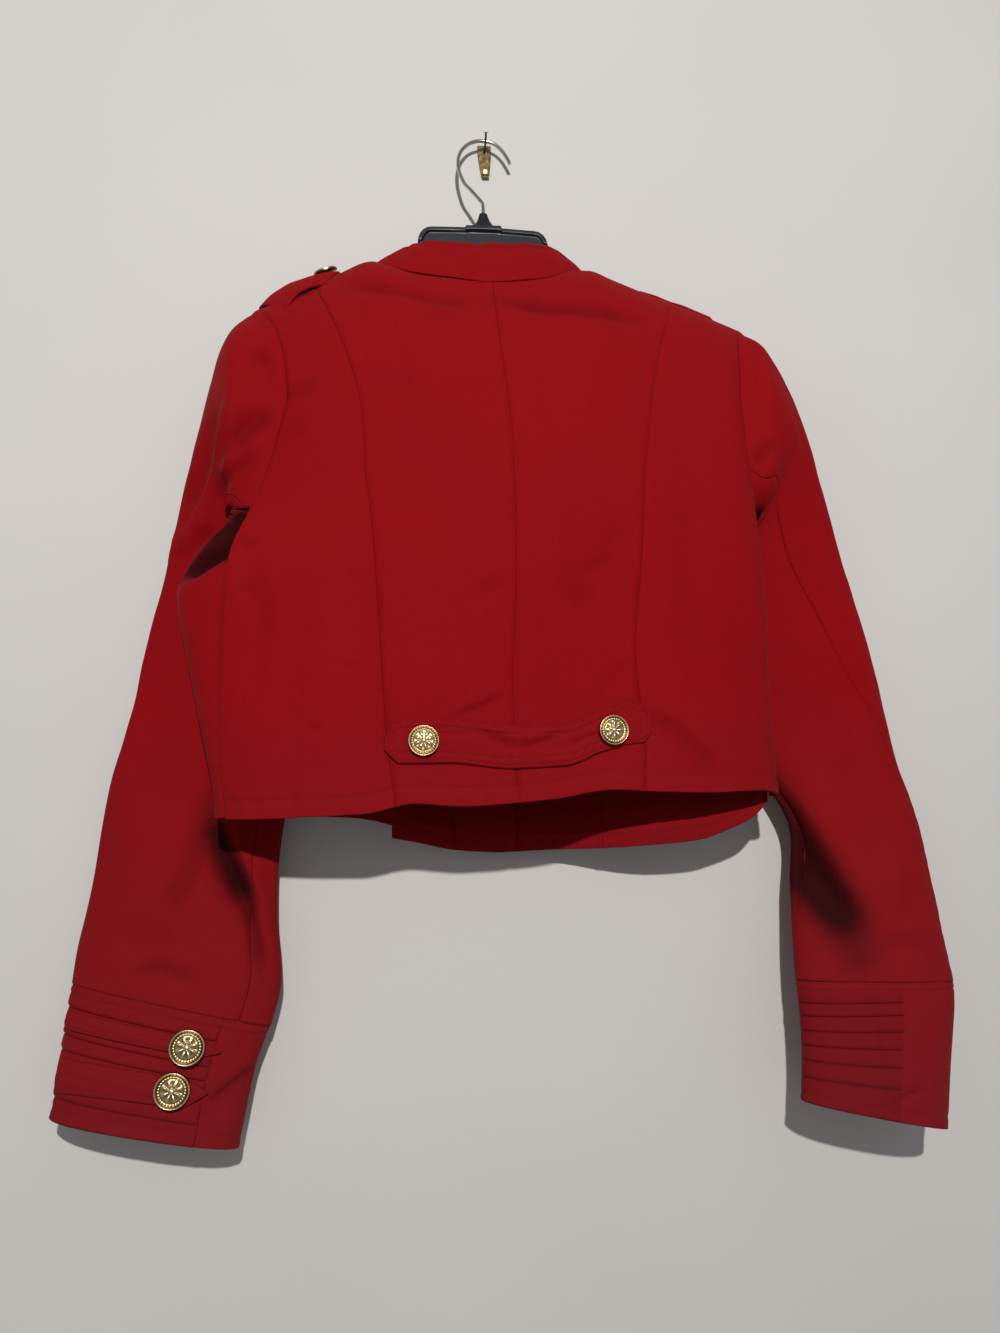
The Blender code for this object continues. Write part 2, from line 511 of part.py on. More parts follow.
def button(name, point, normal, radius, height=0.0045):
    """A domed shank button: plain back, rim and low dome."""
    n = np.asarray(normal, float)
    n = n / np.linalg.norm(n)
    side = np.cross(n, [0, 0, 1.0])
    side /= np.linalg.norm(side)
    up = np.cross(side, n)
    profile = [(0.42, 0.0), (0.80, 0.10), (1.0, 0.30), (0.98, 0.62), (0.80, 0.72), (0.42, 0.92)]
    count = 20
    verts, faces = [point + n * 0.0], []
    for r, h in profile:
        for k in range(count):
            a = 2 * math.pi * k / count
            verts.append(point + radius * r * (math.cos(a) * side + math.sin(a) * up) + n * height * h)
    verts.append(point + n * height)
    last = len(verts) - 1
    for k in range(count):
        faces.append((0, 1 + (k + 1) % count, 1 + k))
    for i in range(len(profile) - 1):
        for k in range(count):
            a, b = 1 + i * count + k, 1 + i * count + (k + 1) % count
            faces.append((a, b, b + count, a + count))
    for k in range(count):
        faces.append((1 + (len(profile) - 1) * count + k, 1 + (len(profile) - 1) * count + (k + 1) % count, last))
    mesh_data = np.array(verts)
    e1, e2 = mesh_data[2] - mesh_data[1], mesh_data[1 + count] - mesh_data[1]
    out = mesh_data[1] - point
    if np.dot(np.cross(e1, e2), out + n * 1e-6) < 0:
        faces = [f[::-1] for f in faces]
    return mesh(name, verts, faces)


def back_point(x, z):
    """The back's outer surface at x, z below the armpit, with its outward normal."""
    def p(xx, zz):
        return np.array([xx, float(ring(angle(xx, zz), zz)[1]), zz])

    q = p(x, z)
    e = 0.002
    n = np.cross(p(x, z + e) - p(x, z - e), p(x + e, z) - p(x - e, z))
    n /= np.linalg.norm(n)
    return q, n * np.sign(-n[1])


def pipe(name, path, radius, sides=10, flat=1.0):
    """A closed round bar along a path."""
    pts = np.asarray(path, float)
    tan = np.gradient(pts, axis=0)
    tan /= np.linalg.norm(tan, axis=1, keepdims=True)
    ref = np.array([0, 1.0, 0]) if abs(tan[0][1]) < 0.8 else np.array([1.0, 0, 0])
    verts, faces = [], []
    for p, t in zip(pts, tan):
        a = np.cross(t, ref)
        a /= np.linalg.norm(a)
        b = np.cross(a, t)
        ref = b
        for k in range(sides):
            w = 2 * math.pi * k / sides
            verts.append(p + radius * (math.cos(w) * a + flat * math.sin(w) * b))
    n = len(pts)
    for i in range(n - 1):
        for k in range(sides):
            m = (k + 1) % sides
            faces.append((i * sides + k, i * sides + m, (i + 1) * sides + m, (i + 1) * sides + k))
    faces.append(tuple(range(sides))[::-1])
    faces.append(tuple((n - 1) * sides + k for k in range(sides)))
    v = np.array(verts)
    q = np.cross(v[1] - v[0], v[sides] - v[0])
    if np.dot(q, v[0] - pts[0]) < 0:
        faces = [f[::-1] for f in faces]
    return mesh(name, verts, faces)


# Hanger outline between the arms: x, top z, bottom z.
HANGER_MIDDLE = [
    (-0.0690, -0.1285, -0.1440), (-0.0612, -0.1180, -0.1350), (-0.0604, -0.1020, -0.1260), (-0.0580, -0.0935, -0.1220),
    (-0.0525, -0.0870, -0.1180), (-0.0198, -0.0863, -0.1130), (-0.0189, -0.0845, -0.1130), (-0.0124, -0.0822, -0.1130),
    (-0.0062, -0.0692, -0.1130), (0.0002, -0.0692, -0.1130), (0.0060, -0.0815, -0.1130), (0.0112, -0.0837, -0.1130),
    (0.0119, -0.0859, -0.1130), (0.0430, -0.0876, -0.1180), (0.0485, -0.0922, -0.1220), (0.0508, -0.0998, -0.1260),
    (0.0512, -0.1180, -0.1350), (0.0610, -0.1290, -0.1440)]
HANGER_ARMS = {"left": (-0.1840, -0.1700, -0.1500, -0.1300, -0.1130, -0.1000),
               "right": (0.0860, 0.1000, 0.1200, 0.1450, 0.1700, 0.1930)}
HANGER_Y = (-0.0405, -0.0325)
HANGER_DROP = 0.0064
HANGER_ARM = 0.0110


def hanger():
    """One moulded bar: neck cone, raised top bar and two arms that follow the shoulder line inside the jacket."""
    def arm(x):
        z = top_point(TOP_BACK, x)[1] - HANGER_DROP
        return x, z, z - HANGER_ARM

    rows = [arm(x) for x in HANGER_ARMS["left"]] + HANGER_MIDDLE + [arm(x) for x in HANGER_ARMS["right"]]
    y0, y1 = HANGER_Y
    pts = np.array([[(x, y0, t), (x, y1, t), (x, y1, b), (x, y0, b)] for x, t, b in rows])
    n = len(rows)
    faces = []
    for i in range(n - 1):
        for k in range(4):
            m = (k + 1) % 4
            faces.append((i * 4 + k, i * 4 + m, (i + 1) * 4 + m, (i + 1) * 4 + k))
    faces.append((3, 2, 1, 0))
    faces.append(tuple((n - 1) * 4 + k for k in range(4)))
    v = pts.reshape(-1, 3)
    if np.cross(v[1] - v[0], v[4] - v[0])[2] < 0:
        faces = [f[::-1] for f in faces]
    mesh("hanger_body", v, faces)


def hook_path():
    """The wire hook's middle line: up from the neck, round over the nail, ending on the right."""
    pts = [(-0.0030, -0.0350, -0.0688), (-0.0030, -0.0345, -0.0607), (-0.0040, -0.0330, -0.0557),
           (-0.0121, -0.0285, -0.0411), (-0.0176, -0.0250, -0.0311), (-0.0212, -0.0205, -0.0155),
           (-0.0215, -0.0175, -0.0028), (-0.0186, -0.0142, 0.0094), (-0.0118, -0.0122, 0.0190),
           (-0.0033, -0.0113, 0.0238), (0.0050, -0.0112, 0.0243), (0.0130, -0.0113, 0.0215),
           (0.0195, -0.0114, 0.0149), (0.0250, -0.0117, 0.0045), (0.0257, -0.0118, 0.0012)]
    return smooth(pts, 40)


def wall_hook():
    """Nail and brass plate: the plate's back lies on the wall, the wire hangs on the nail above it."""
    x = 0.0045
    path = [(x, -0.0019, 0.0208), (x, -0.0050, 0.0211), (x, -0.0110, 0.0214), (x, -0.0160, 0.0232),
            (x, -0.0185, 0.0254)]
    nail = smooth(path, 9)
    pts = list(nail)
    tip = pts[-1] - pts[-2]
    tip /= np.linalg.norm(tip)
    radii = [0.0009] * 9
    verts, faces = [], []
    rings_at = [(p, r) for p, r in zip(pts, radii)] + [(pts[-1] + tip * 0.0004, 0.0026), (pts[-1] + tip * 0.0012, 0.0026)]
    sides = 12
    for p, r in rings_at:
        b = np.cross(tip, [1.0, 0, 0])
        for k in range(sides):
            w = 2 * math.pi * k / sides
            verts.append(p + r * (math.cos(w) * np.array([1.0, 0, 0]) + math.sin(w) * b))
    n = len(rings_at)
    for i in range(n - 1):
        for k in range(sides):
            m = (k + 1) % sides
            faces.append((i * sides + k, i * sides + m, (i + 1) * sides + m, (i + 1) * sides + k))
    faces.append(tuple(range(sides))[::-1])
    faces.append(tuple((n - 1) * sides + k for k in range(sides)))
    v = np.array(verts)
    if np.dot(np.cross(v[1] - v[0], v[sides] - v[0]), v[0] - rings_at[0][0]) < 0:
        faces = [f[::-1] for f in faces]
    mesh("wall_nail", verts, faces)
    outline = [(0.0280, 0.0062, 0.0, -0.0012), (0.0170, 0.0062, 0.0, -0.0012), (0.0050, 0.0052, 0.0, -0.0012),
               (-0.0040, 0.0036, 0.0, -0.0014), (-0.0052, 0.0032, -0.0010, -0.0030), (-0.0050, 0.0030, -0.0034, -0.0046),
               (-0.0010, 0.0028, -0.0046, -0.0058)]
    back = np.array([[(x - w, yb, z), (x + w, yb, z)] for z, w, yb, yf in outline])
    front = np.array([[(x - w, yf, z + (0.0012 if i >= 5 else 0)), (x + w, yf, z + (0.0012 if i >= 5 else 0))]
                      for i, (z, w, yb, yf) in enumerate(outline)])
    shell("wall_plate", front, back)


def near_point(grid, x, z):
    """A point just clear of a front sheet at x and z: the nearest four grid points' furthest y."""
    pts = grid.reshape(-1, 3)
    nearest = np.argsort(np.hypot(pts[:, 0] - x, pts[:, 2] - z))[:4]
    return np.array([x, pts[nearest, 1].max(), z])


def clear():
    """Empties the startup scene."""
    for obj in list(bpy.data.objects):
        bpy.data.objects.remove(obj, do_unlink=True)


def build():
    clear()
    v, back, nb, left, nl, right, nr = body_sheets()
    for name, i, j in (("back_side_left", 0, 6), ("back_centre_left", 5, 12), ("back_centre_right", 11, 18),
                       ("back_side_right", 17, 23)):
        cloth(name, back[i:j], nb[i:j], ends=(True, True, False, True))
    cloth("front_side_left", left[:9], nl[:9], ends=(True, True, False, True))
    cloth("front_left", left[8:], nl[8:], ends=(True, False, False, True))
    cloth("front_side_right", right[:7], nr[:7], ends=(True, True, False, True))
    cloth("front_right", right[6:], nr[6:], ends=(True, False, False, True))

    facing = nl[-3:, :-2]
    inside = left[-3:, :-2] - facing * (CLOTH + FACING_GAP)
    inside[:, 0] += (inside[:, 1] - inside[:, 0]) * 0.05
    shell("front_facing_left", inside[:, ::2], (inside - facing * FACING_CLOTH)[:, ::2])
    for name, z in FRONT_BUTTONS:
        q = near_point(right[6:], FRONT_BUTTON_X, z)
        button(name, q + [0, 0.0006, 0], np.array([0, 1.0, 0]), SMALL_BUTTON)

    above = v >= 0.9999
    loop_l = loop_from(back[0][above], left[0][above], -ARMHOLE_GAP)
    loop_r = loop_from(back[-1][above], right[0][above], ARMHOLE_GAP)
    sleeve("left", loop_l, SLEEVE_LEFT, SEAMS_LEFT)
    sleeve("right", loop_r, SLEEVE_RIGHT, SEAMS_RIGHT)
    cuff("left", CUFF_LEFT, 138.0)
    cuff("right", CUFF_RIGHT, 200.0)

    seam, top = COLLAR[:, :3] + [0, 0, COLLAR_LIFT], smooth(COLLAR[:, 3:], len(COLLAR))
    grid = np.stack([seam + (top - seam) * f for f in (0.0, 0.5, 1.0)], axis=1)
    n = outward(grid, grid.mean(axis=(0, 1)))
    edge = np.concatenate([g[:, -1] for g in (back, left, right)])
    lean = np.concatenate([m[:, -1] for m in (nb, nl, nr)])
    for k, p in enumerate(grid[:, 0]):
        near = np.linalg.norm(edge - p, axis=1)
        if near.min() < 0.004 and abs(lean[near.argmin()][2]) < 0.85:
            n[k, 0] = lean[near.argmin()]
    inner = grid - n * COLLAR_CLOTH
    inner[:, 0, 2] = np.maximum(inner[:, 0, 2], grid[:, 0, 2])
    shell("collar_stand", grid, inner)

    line = smooth(BELT, 25)
    strip("back_belt", [(*[back_point(x, z)[0] for z in (t, b)], back_point(x, (t + b) / 2)[1])
                        for x, t, b in line], LIFT, STRAP_CLOTH)
    for k, (x, z) in enumerate(BELT_BUTTONS):
        q, n = back_point(x, z)
        button(f"belt_button_{'left' if k == 0 else 'right'}", q + n * (LIFT + STRAP_CLOTH + 0.0006), n, BELT_BUTTON)

    for side, rows, turn in (("left", CUFF_LEFT, 1), ("right", CUFF_RIGHT, -1)):
        for k, (a0, a1, v0, v1, half, ab) in enumerate(TABS):
            f = np.array([0, 0.2, 0.4, 0.6, 0.78, 0.86, 0.94, 1.0])
            shape = np.minimum(1.0, np.maximum(0.12, (1 - f) * 6.5))
            th = np.radians(a0 + (a1 - a0) * f) * turn
            vm = v0 + (v1 - v0) * f
            lo, n0 = cuff_surface(rows, th, vm - half * shape)
            hi, n1 = cuff_surface(rows, th, vm + half * shape)
            _, nm = cuff_surface(rows, th, vm)
            name = f"cuff_tab_{side}_{'upper' if k == 0 else 'lower'}"
            strip(name, list(zip(lo, hi, nm)), TAB_LIFT, TAB_CLOTH)
            fb = (ab - a0) / (a1 - a0)
            q, n = cuff_surface(rows, math.radians(ab) * turn, v0 + (v1 - v0) * fb)
            button(f"cuff_button_{side}_{'upper' if k == 0 else 'lower'}", q[0] + n[0] * (TAB_LIFT + TAB_CLOTH + 0.0006), n[0],
                   CUFF_BUTTON)

    for side, (inner, outer, rise) in EPAULETTES.items():
        f = np.linspace(0, 1, 13)
        xs = inner + (outer - inner) * f
        lift = 0.0007 + rise * np.sin(np.pi * np.clip(f, 0, 1)) ** 0.8
        half = EPAULETTE_HALF * np.minimum(1.0, 0.45 + 3.0 * f) * (1 + 0.12 * f)
        pts = []
        for x, h, r in zip(xs, half, lift):
            y, z = top_point(TOP_BACK, x)
            pts.append([(x, y + w * h, z + r - drop * h / EPAULETTE_HALF) for w, drop in EPAULETTE_DROP])
        low = np.array(pts)
        up = normals(low)
        shell(f"epaulette_{side}", low + up * np.sign(up[6, 2, 2]) * STRAP_CLOTH, low)
        x = inner + (outer - inner) * 0.17
        y, z = top_point(TOP_BACK, x)
        r = 0.0007 + rise * math.sin(math.pi * 0.17) ** 0.8
        button(f"epaulette_button_{side}", np.array([x, y, z + r + STRAP_CLOTH + 0.0006]),
               np.array([0.30 if side == "right" else -0.30, 0.02, 1.0]), SMALL_BUTTON)

    hanger()
    pipe("hanger_hook", hook_path(), WIRE, sides=12)
    wall_hook()


build()
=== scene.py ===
"""Looks of the red cropped jacket on its hanger: cloth, stitching, buttons, hanger, wire hook, light and camera.

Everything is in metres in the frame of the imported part. The jacket's own tables are written in a working frame,
and SHIFT moves them into the part's frame, as in the CAD source.
"""
from __future__ import annotations

import logging
import math
from dataclasses import dataclass, field
from enum import Enum
from typing import Callable, Iterable, Sequence

import bpy
import numpy as np
from mathutils import Matrix

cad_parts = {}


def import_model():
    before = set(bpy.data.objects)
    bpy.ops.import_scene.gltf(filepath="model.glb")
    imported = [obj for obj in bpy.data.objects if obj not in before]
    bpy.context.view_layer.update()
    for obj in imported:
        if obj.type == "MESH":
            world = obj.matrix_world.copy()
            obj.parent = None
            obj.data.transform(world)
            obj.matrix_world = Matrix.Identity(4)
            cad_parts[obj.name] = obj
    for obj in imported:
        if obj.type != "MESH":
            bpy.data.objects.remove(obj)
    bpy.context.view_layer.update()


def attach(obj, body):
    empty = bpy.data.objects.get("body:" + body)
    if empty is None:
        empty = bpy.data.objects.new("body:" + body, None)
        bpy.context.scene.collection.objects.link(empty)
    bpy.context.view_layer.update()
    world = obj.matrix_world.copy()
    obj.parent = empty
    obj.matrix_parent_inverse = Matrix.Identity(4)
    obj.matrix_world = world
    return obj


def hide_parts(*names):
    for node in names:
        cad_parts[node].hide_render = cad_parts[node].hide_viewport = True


LOG = logging.getLogger("jacket")
Array = np.ndarray

SHIFT = np.array([-0.004, 0.0, -0.009])
ARMPIT = -0.355
HEM = -0.580
CLOTH = 0.0016
LAYER = 0.0031
# Painted shade of a trough of one metre, before it is cut at 1. Height of the thread's middle above the cloth. Least
# share of width times length that a piece's area is stated as. Distances between stitches. Height of a cuff along its
# cloth.
SHADE_PER_METRE = 100.0
THREAD_LIFT = 0.0001
PITCH = 0.0027
HEM_PITCH = 0.0029
CUFF_HEIGHT = 0.0875


class Side(Enum):
    """The side of the jacket as the camera sees its back."""

    LEFT = "left"
    RIGHT = "right"


class Slot(Enum):
    """Material slots of the record."""

    CLOTH = "red_twill"
    BUTTON = "gold_button"
    HANGER = "hanger_plastic"
    WIRE = "hook_wire"
    NAIL = "nail_steel"
    PLATE = "plate_brass"


def ease(start: float, end: float, x: Array | float) -> Array:
    """Smooth 0 to 1 step between two values: 3t^2 - 2t^3, with t clamped. It may run downwards.

    Args:
        start: Value where the step begins.
        end: Value where the step ends.
        x: Where to evaluate it.

    Returns:
        The step's value at x.
    """
    t = np.clip((np.asarray(x, float) - start) / (end - start), 0.0, 1.0)
    return t * t * (3.0 - 2.0 * t)


def bell(distance: Array, width: float) -> Array:
    """Gaussian of a distance: exp(-(d / w)^2)."""
    return np.exp(-((distance / width) ** 2))


def curve(table: Sequence[Sequence[float]], key: Array | float, column: int = 1) -> Array:
    """Looks a column up by the first column, with a cubic that never overshoots.

    The slope at each row is the harmonic mean of its two neighbours' slopes, or zero where they turn.

    Args:
        table: Rows whose first column rises.
        key: Where to look.
        column: The column to read.

    Returns:
        The values at key.
    """
    tab = np.asarray(table, float)
    x, y = tab[:, 0], tab[:, column]
    h = np.diff(x)
    d = np.diff(y) / h
    m = np.zeros_like(y)
    same = d[:-1] * d[1:] > 0
    w1, w2 = 2 * h[1:] + h[:-1], h[1:] + 2 * h[:-1]
    inner = np.zeros(len(d) - 1)
    inner[same] = (w1 + w2)[same] / (w1[same] / d[:-1][same] + w2[same] / d[1:][same])
    m[1:-1] = inner
    m[0], m[-1] = d[0], d[-1]
    k = np.clip(np.asarray(key, float), x[0], x[-1])
    i = np.clip(np.searchsorted(x, k, side="right") - 1, 0, len(h) - 1)
    t = (k - x[i]) / h[i]
    return ((2 * t**3 - 3 * t**2 + 1) * y[i] + (t**3 - 2 * t**2 + t) * h[i] * m[i]
            + (-2 * t**3 + 3 * t**2) * y[i + 1] + (t**3 - t**2) * h[i] * m[i + 1])


def spline(rows: Sequence[Sequence[float]], where: Array) -> Array:
    """Catmull-Rom through rows, at fractions 0 to 1 of their count.

    Args:
        rows: Points or rows of numbers, one per knot.
        where: Fractions from 0 (first row) to 1 (last row).

    Returns:
        One row per fraction.
    """
    pts = np.asarray(rows, float)
    n = len(pts) - 1
    t = np.asarray(where, float) * n
    i = np.clip(np.floor(t).astype(int), 0, n - 1)
    f = (t - i)[:, None]
    a, b, c, d = pts[np.clip(i - 1, 0, n)], pts[i], pts[i + 1], pts[np.clip(i + 2, 0, n)]
    return 0.5 * (2 * b + (c - a) * f + (2 * a - 5 * b + 4 * c - d) * f**2 + (3 * b - 3 * c + d - a) * f**3)


def unit(vectors: Array) -> Array:
    """Vectors of length one along the last axis."""
    return vectors / np.maximum(np.linalg.norm(vectors, axis=-1, keepdims=True), 1e-12)


def lengths(grid: Array, axis: int) -> Array:
    """Distance along the cloth from the first column (axis 0) or row (axis 1) to each point."""
    steps = np.cumsum(np.linalg.norm(np.diff(grid, axis=axis), axis=2), axis=axis)
    return np.insert(steps, 0, 0.0, axis=axis)


def parted(grid: Array, gap: float, top: bool = False) -> Array:
    """A copy of a grid, with its first and last column drawn inwards by a gap, and its last row where asked."""
    g = grid.copy()
    edges = [(g[0], g[1]), (g[-1], g[-2])] + ([(g[:, -1], g[:, -2])] if top else [])
    for edge, beside in edges:
        edge += unit(beside - edge) * gap
    return g


def hats(s: Array, knots: Array) -> Array:
    """Matrix of linear hat functions, so hats @ values interpolates values given at the knots."""
    eye = np.eye(len(knots))
    return np.stack([np.interp(s, knots, e) for e in eye], axis=1)


def grid_normals(grid: Array, wrap: bool = False) -> Array:
    """Unit normals of a grid of points, from its central differences.

    Args:
        grid: Points, columns by rows by 3.
        wrap: True where the last column meets the first, as round a tube.

    Returns:
        Normals of the same shape.
    """
    if wrap:
        du = np.roll(grid, -1, axis=0) - np.roll(grid, 1, axis=0)
    else:
        du = np.gradient(grid, axis=0)
    return unit(np.cross(du, np.gradient(grid, axis=1)))


def tube_normals(grid: Array) -> Array:
    """Unit normals of a tube whose last column repeats the first, turned away from each ring's centre."""
    ring = grid[:-1]
    n = grid_normals(ring, wrap=True)
    if np.sum(n * (ring - ring.mean(axis=0, keepdims=True))) < 0:
        n = -n
    return np.concatenate([n, n[:1]])


def clustered(count: int, start: float, end: float, amount: float = 0.6) -> Array:
    """Numbers from start to end, closer together at both ends by a cosine."""
    u = np.linspace(0, 1, count)
    return start + (end - start) * ((1 - amount) * u + amount * (0.5 - 0.5 * np.cos(math.pi * u)))


def ripple(a: Array, b: Array, seed: int, waves: int = 5) -> Array:
    """Smooth unevenness from -1 to 1: a sum of sines of a and b with seeded directions and phases.

    Args:
        a: First coordinate, in periods.
        b: Second coordinate, in periods.
        seed: Seed of the directions and phases.
        waves: How many sines are summed.

    Returns:
        Values of the same shape as a.
    """
    rng = np.random.default_rng(seed)
    total = np.zeros(np.broadcast(a, b).shape)
    for turn, phase, rate in zip(rng.uniform(0, math.tau, waves), rng.uniform(0, math.tau, waves),
                                 rng.uniform(0.6, 1.7, waves)):
        total = total + np.sin(math.tau * rate * (a * math.cos(turn) + b * math.sin(turn)) + phase)
    return total / waves


@dataclass(frozen=True)
class Crease:
    """A soft trough or ridge in the cloth, along a line in the x-z plane of the working frame.

    Attributes:
        line: Points (x, z) in millimetres, from end to end.
        width: Half width in millimetres.
        rise: Height in millimetres, below zero for a trough.
        lean: From -1 to 1, how much steeper one flank is, as a fold that hangs over.
        near: True for the side that faces the camera, False for the wall side.
        dark: How much its depth darkens the cloth's colour, as painted shade.
    """

    line: tuple[tuple[float, float], ...]
    width: float
    rise: float
    lean: float = 0.0
    near: bool = True
    dark: float = 0.40

    def height(self, x: Array, z: Array) -> Array:
        """Height of the crease: a bell across the line, which fades at its two ends.

        Args:
            x: Working-frame x in metres.
            z: Working-frame z in metres.

        Returns:
            Height in metres.
        """
        pts = np.asarray(self.line, float) / 1000.0
        seg = np.diff(pts, axis=0)
        length = np.linalg.norm(seg, axis=1)
        run = np.concatenate([[0], np.cumsum(length)])
        best = np.full(np.shape(x), np.inf)
        along = np.zeros(np.shape(x))
        across = np.zeros(np.shape(x))
        for p, d, size, start in zip(pts[:-1], seg, length, run):
            u = ((x - p[0]) * d[0] + (z - p[1]) * d[1]) / size**2
            uc = np.clip(u, 0, 1)
            gap = np.hypot(x - p[0] - d[0] * uc, z - p[1] - d[1] * uc)
            side = ((x - p[0]) * d[1] - (z - p[1]) * d[0]) / size
            closer = gap < best
            best = np.where(closer, gap, best)
            along = np.where(closer, start + uc * size, along)
            across = np.where(closer, np.sign(side) * gap, across)
        w = self.width / 1000.0
        fade = ease(0.0, 0.25, along / run[-1]) * ease(1.0, 0.75, along / run[-1])
        skew = np.where(across * self.lean > 0, 1.0 - 0.65 * abs(self.lean), 1.0 + 0.8 * abs(self.lean))
        return self.rise / 1000.0 * np.exp(-((best / (w * skew)) ** 2)) * (0.25 + 0.75 * fade)


@dataclass
class Sheet:
    """A cloth wall: an outer grid and its normals, closed by an inner grid.

    Attributes:
        outer: Outer points, columns by rows by 3, in the working frame.
        normal: Unit normals that point out of the cloth.
        thick: Wall in metres.
        wrap: True where the last column repeats the first and the tube is closed.
        folds: Creases whose depth is stored on the outer points, for the painted shade of the cloth in them.
        extra_painted_shade: More painted shade for the outer points, from 0 to 1.
    """

    outer: Array
    normal: Array
    thick: float = CLOTH
    wrap: bool = False
    folds: Sequence[Crease] = ()
    extra_painted_shade: Array | None = None

    def mesh(self, name: str, finish: bpy.types.Material) -> bpy.types.Object:
        """Makes the closed shell, with a UV map that holds distances along the cloth in metres.

        Args:
            name: The piece's name.
            finish: Its material.

        Returns:
            The new object, in the part's frame, riding on the one body.
        """
        outer = self.outer
        inner = outer - self.normal * self.thick
        if self.wrap:
            outer, inner = outer[:-1], inner[:-1]
        nu, nv = outer.shape[:2]
        verts = np.concatenate([outer.reshape(-1, 3), inner.reshape(-1, 3)]) + SHIFT
        span = nu if self.wrap else nu - 1
        i, j = np.meshgrid(np.arange(span), np.arange(nv - 1), indexing="ij")
        a = (i * nv + j).ravel()
        b = (((i + 1) % nu) * nv + j).ravel()
        base = nu * nv
        faces = [np.stack([a, b, b + 1, a + 1], 1), np.stack([a + base, a + 1 + base, b + 1 + base, b + base], 1)]
        k = np.arange(span)
        lo, lo2 = k * nv, ((k + 1) % nu) * nv
        faces.append(np.stack([lo, lo + base, lo2 + base, lo2], 1))
        hi, hi2 = lo + nv - 1, lo2 + nv - 1
        faces.append(np.stack([hi, hi2, hi2 + base, hi + base], 1))
        if not self.wrap:
            r = np.arange(nv - 1)
            faces.append(np.stack([r, r + 1, r + 1 + base, r + base], 1))
            e = (nu - 1) * nv + r
            faces.append(np.stack([e, e + base, e + 1 + base, e + 1], 1))
        quads = np.concatenate(faces)
        du, dv = np.gradient(self.outer, axis=0), np.gradient(self.outer, axis=1)
        if np.sum(np.cross(du, dv) * self.normal) < 0:
            quads = quads[:, ::-1]
        obj = mesh_object(name, verts, quads)
        run_v = lengths(outer, 1)
        middle = lengths(outer, 0).mean(axis=1, keepdims=True) + 0 * run_v
        flat = np.stack([middle.ravel(), run_v.ravel()], 1)
        flat = np.concatenate([flat, flat])
        layer = obj.data.uv_layers.new(name="cut")
        layer.data.foreach_set("uv", flat[quads.ravel()].astype(np.float32).ravel())
        # Painted shade: how deep the creases press the cloth in, and any extra painted shade, darken the colour of the
        # outer points.
        painted_crease_shade = np.zeros(2 * base)
        faces_back = ease(0.45, 0.05, self.normal[:nu, :, 1])
        for fold in self.folds:
            rise = fold.height(outer[..., 0], outer[..., 2])
            painted_crease_shade[:base] += (np.clip(-rise, 0, None) * faces_back).ravel() * SHADE_PER_METRE * fold.dark
        if self.extra_painted_shade is not None:
            painted_crease_shade[:base] += self.extra_painted_shade[:nu].ravel()
        layer = obj.data.attributes.new("painted_crease_shade", "FLOAT", "POINT")
        layer.data.foreach_set("value", np.clip(painted_crease_shade, 0, 1).astype(np.float32))
        dress(obj, finish)
        return obj

    def hang(self, part: str, finish: bpy.types.Material) -> None:
        """Makes the piece for a CAD node, and hides that node.

        Args:
            part: The CAD node that it stands for.
            finish: Cloth material.
        """
        obj = self.mesh(part + "_cloth", finish)
        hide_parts(part)


def mesh_object(name: str, verts: Array, faces: Array | list, smooth: bool = True) -> bpy.types.Object:
    """Puts vertices and equal-sided faces into a new object.

    Args:
        name: Object name.
        verts: Points in the part's frame.
        faces: Vertex indices, one row per face.
        smooth: True for smooth shading.

    Returns:
        The new object, linked to the scene.
    """
    data = bpy.data.meshes.new(name)
    data.from_pydata(np.asarray(verts, float).tolist(), [], faces if isinstance(faces, list) else faces.tolist())
    data.polygons.foreach_set("use_smooth", np.full(len(data.polygons), smooth))
    data.update()
    obj = bpy.data.objects.new(name, data)
    bpy.context.scene.collection.objects.link(obj)
    return obj


def dress(obj: bpy.types.Object, finish: bpy.types.Material) -> None:
    """Gives an object its material, and lets it ride on the one body."""
    obj.data.materials.clear()
    obj.data.materials.append(finish)
    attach(obj, "root")
    LOG.info("made %s with %d faces", obj.name, len(obj.data.polygons))


def tenths(*rows_: tuple[int, ...]) -> list[tuple[float, ...]]:
    """Rows that are written in tenths of a millimetre, in metres."""
    return [tuple(v / 10000 for v in row) for row in rows_]


# Body section by height: z, left and right extreme x, back y, side y, front y.
BODY = tenths(
    (-6100, -2130, 1960, -1040, -600, -110), (-5800, -2130, 1960, -1040, -600, -110),
    (-5300, -2215, 1975, -1040, -590, -110), (-4850, -2315, 1990, -1030, -580, -110),
    (-4520, -2380, 2023, -1020, -580, -110), (-4150, -2440, 2030, -1020, -580, -110),
    (-3850, -2320, 2032, -1010, -580, -120), (-3550, -2080, 2025, -1000, -570, -130),
    (-3200, -2020, 2040, -990, -550, -140), (-1000, -2020, 2080, -980, -520, -140))
# Vertical seams of the back: z, x from the hem up.
SIDE_LEFT = tenths(
    (-5810, -2044), (-5260, -2098), (-4720, -2094), (-3990, -2047), (-3550, -1900), (-3350, -1805), (-3050, -1723),
    (-2640, -1635), (-2170, -1660), (-1910, -1700), (-1665, -1900))
PRINCESS_LEFT = tenths(
    (-5770, -884), (-5210, -938), (-4590, -967), (-3880, -1003), (-3320, -1047), (-2770, -1082), (-2310, -1176),
    (-2010, -1253), (-1720, -1340), (-1465, -1447))
CENTRE_BACK = tenths(
    (-5760, -32), (-5565, -47), (-5020, -49), (-4340, 4), (-3160, 48), (-2740, 32), (-2310, 7), (-2030, -5),
    (-1586, -20))
PRINCESS_RIGHT = tenths(
    (-5705, 858), (-5410, 887), (-4930, 859), (-3960, 971), (-3230, 1072), (-2610, 1186), (-2160, 1292),
    (-1505, 1501))
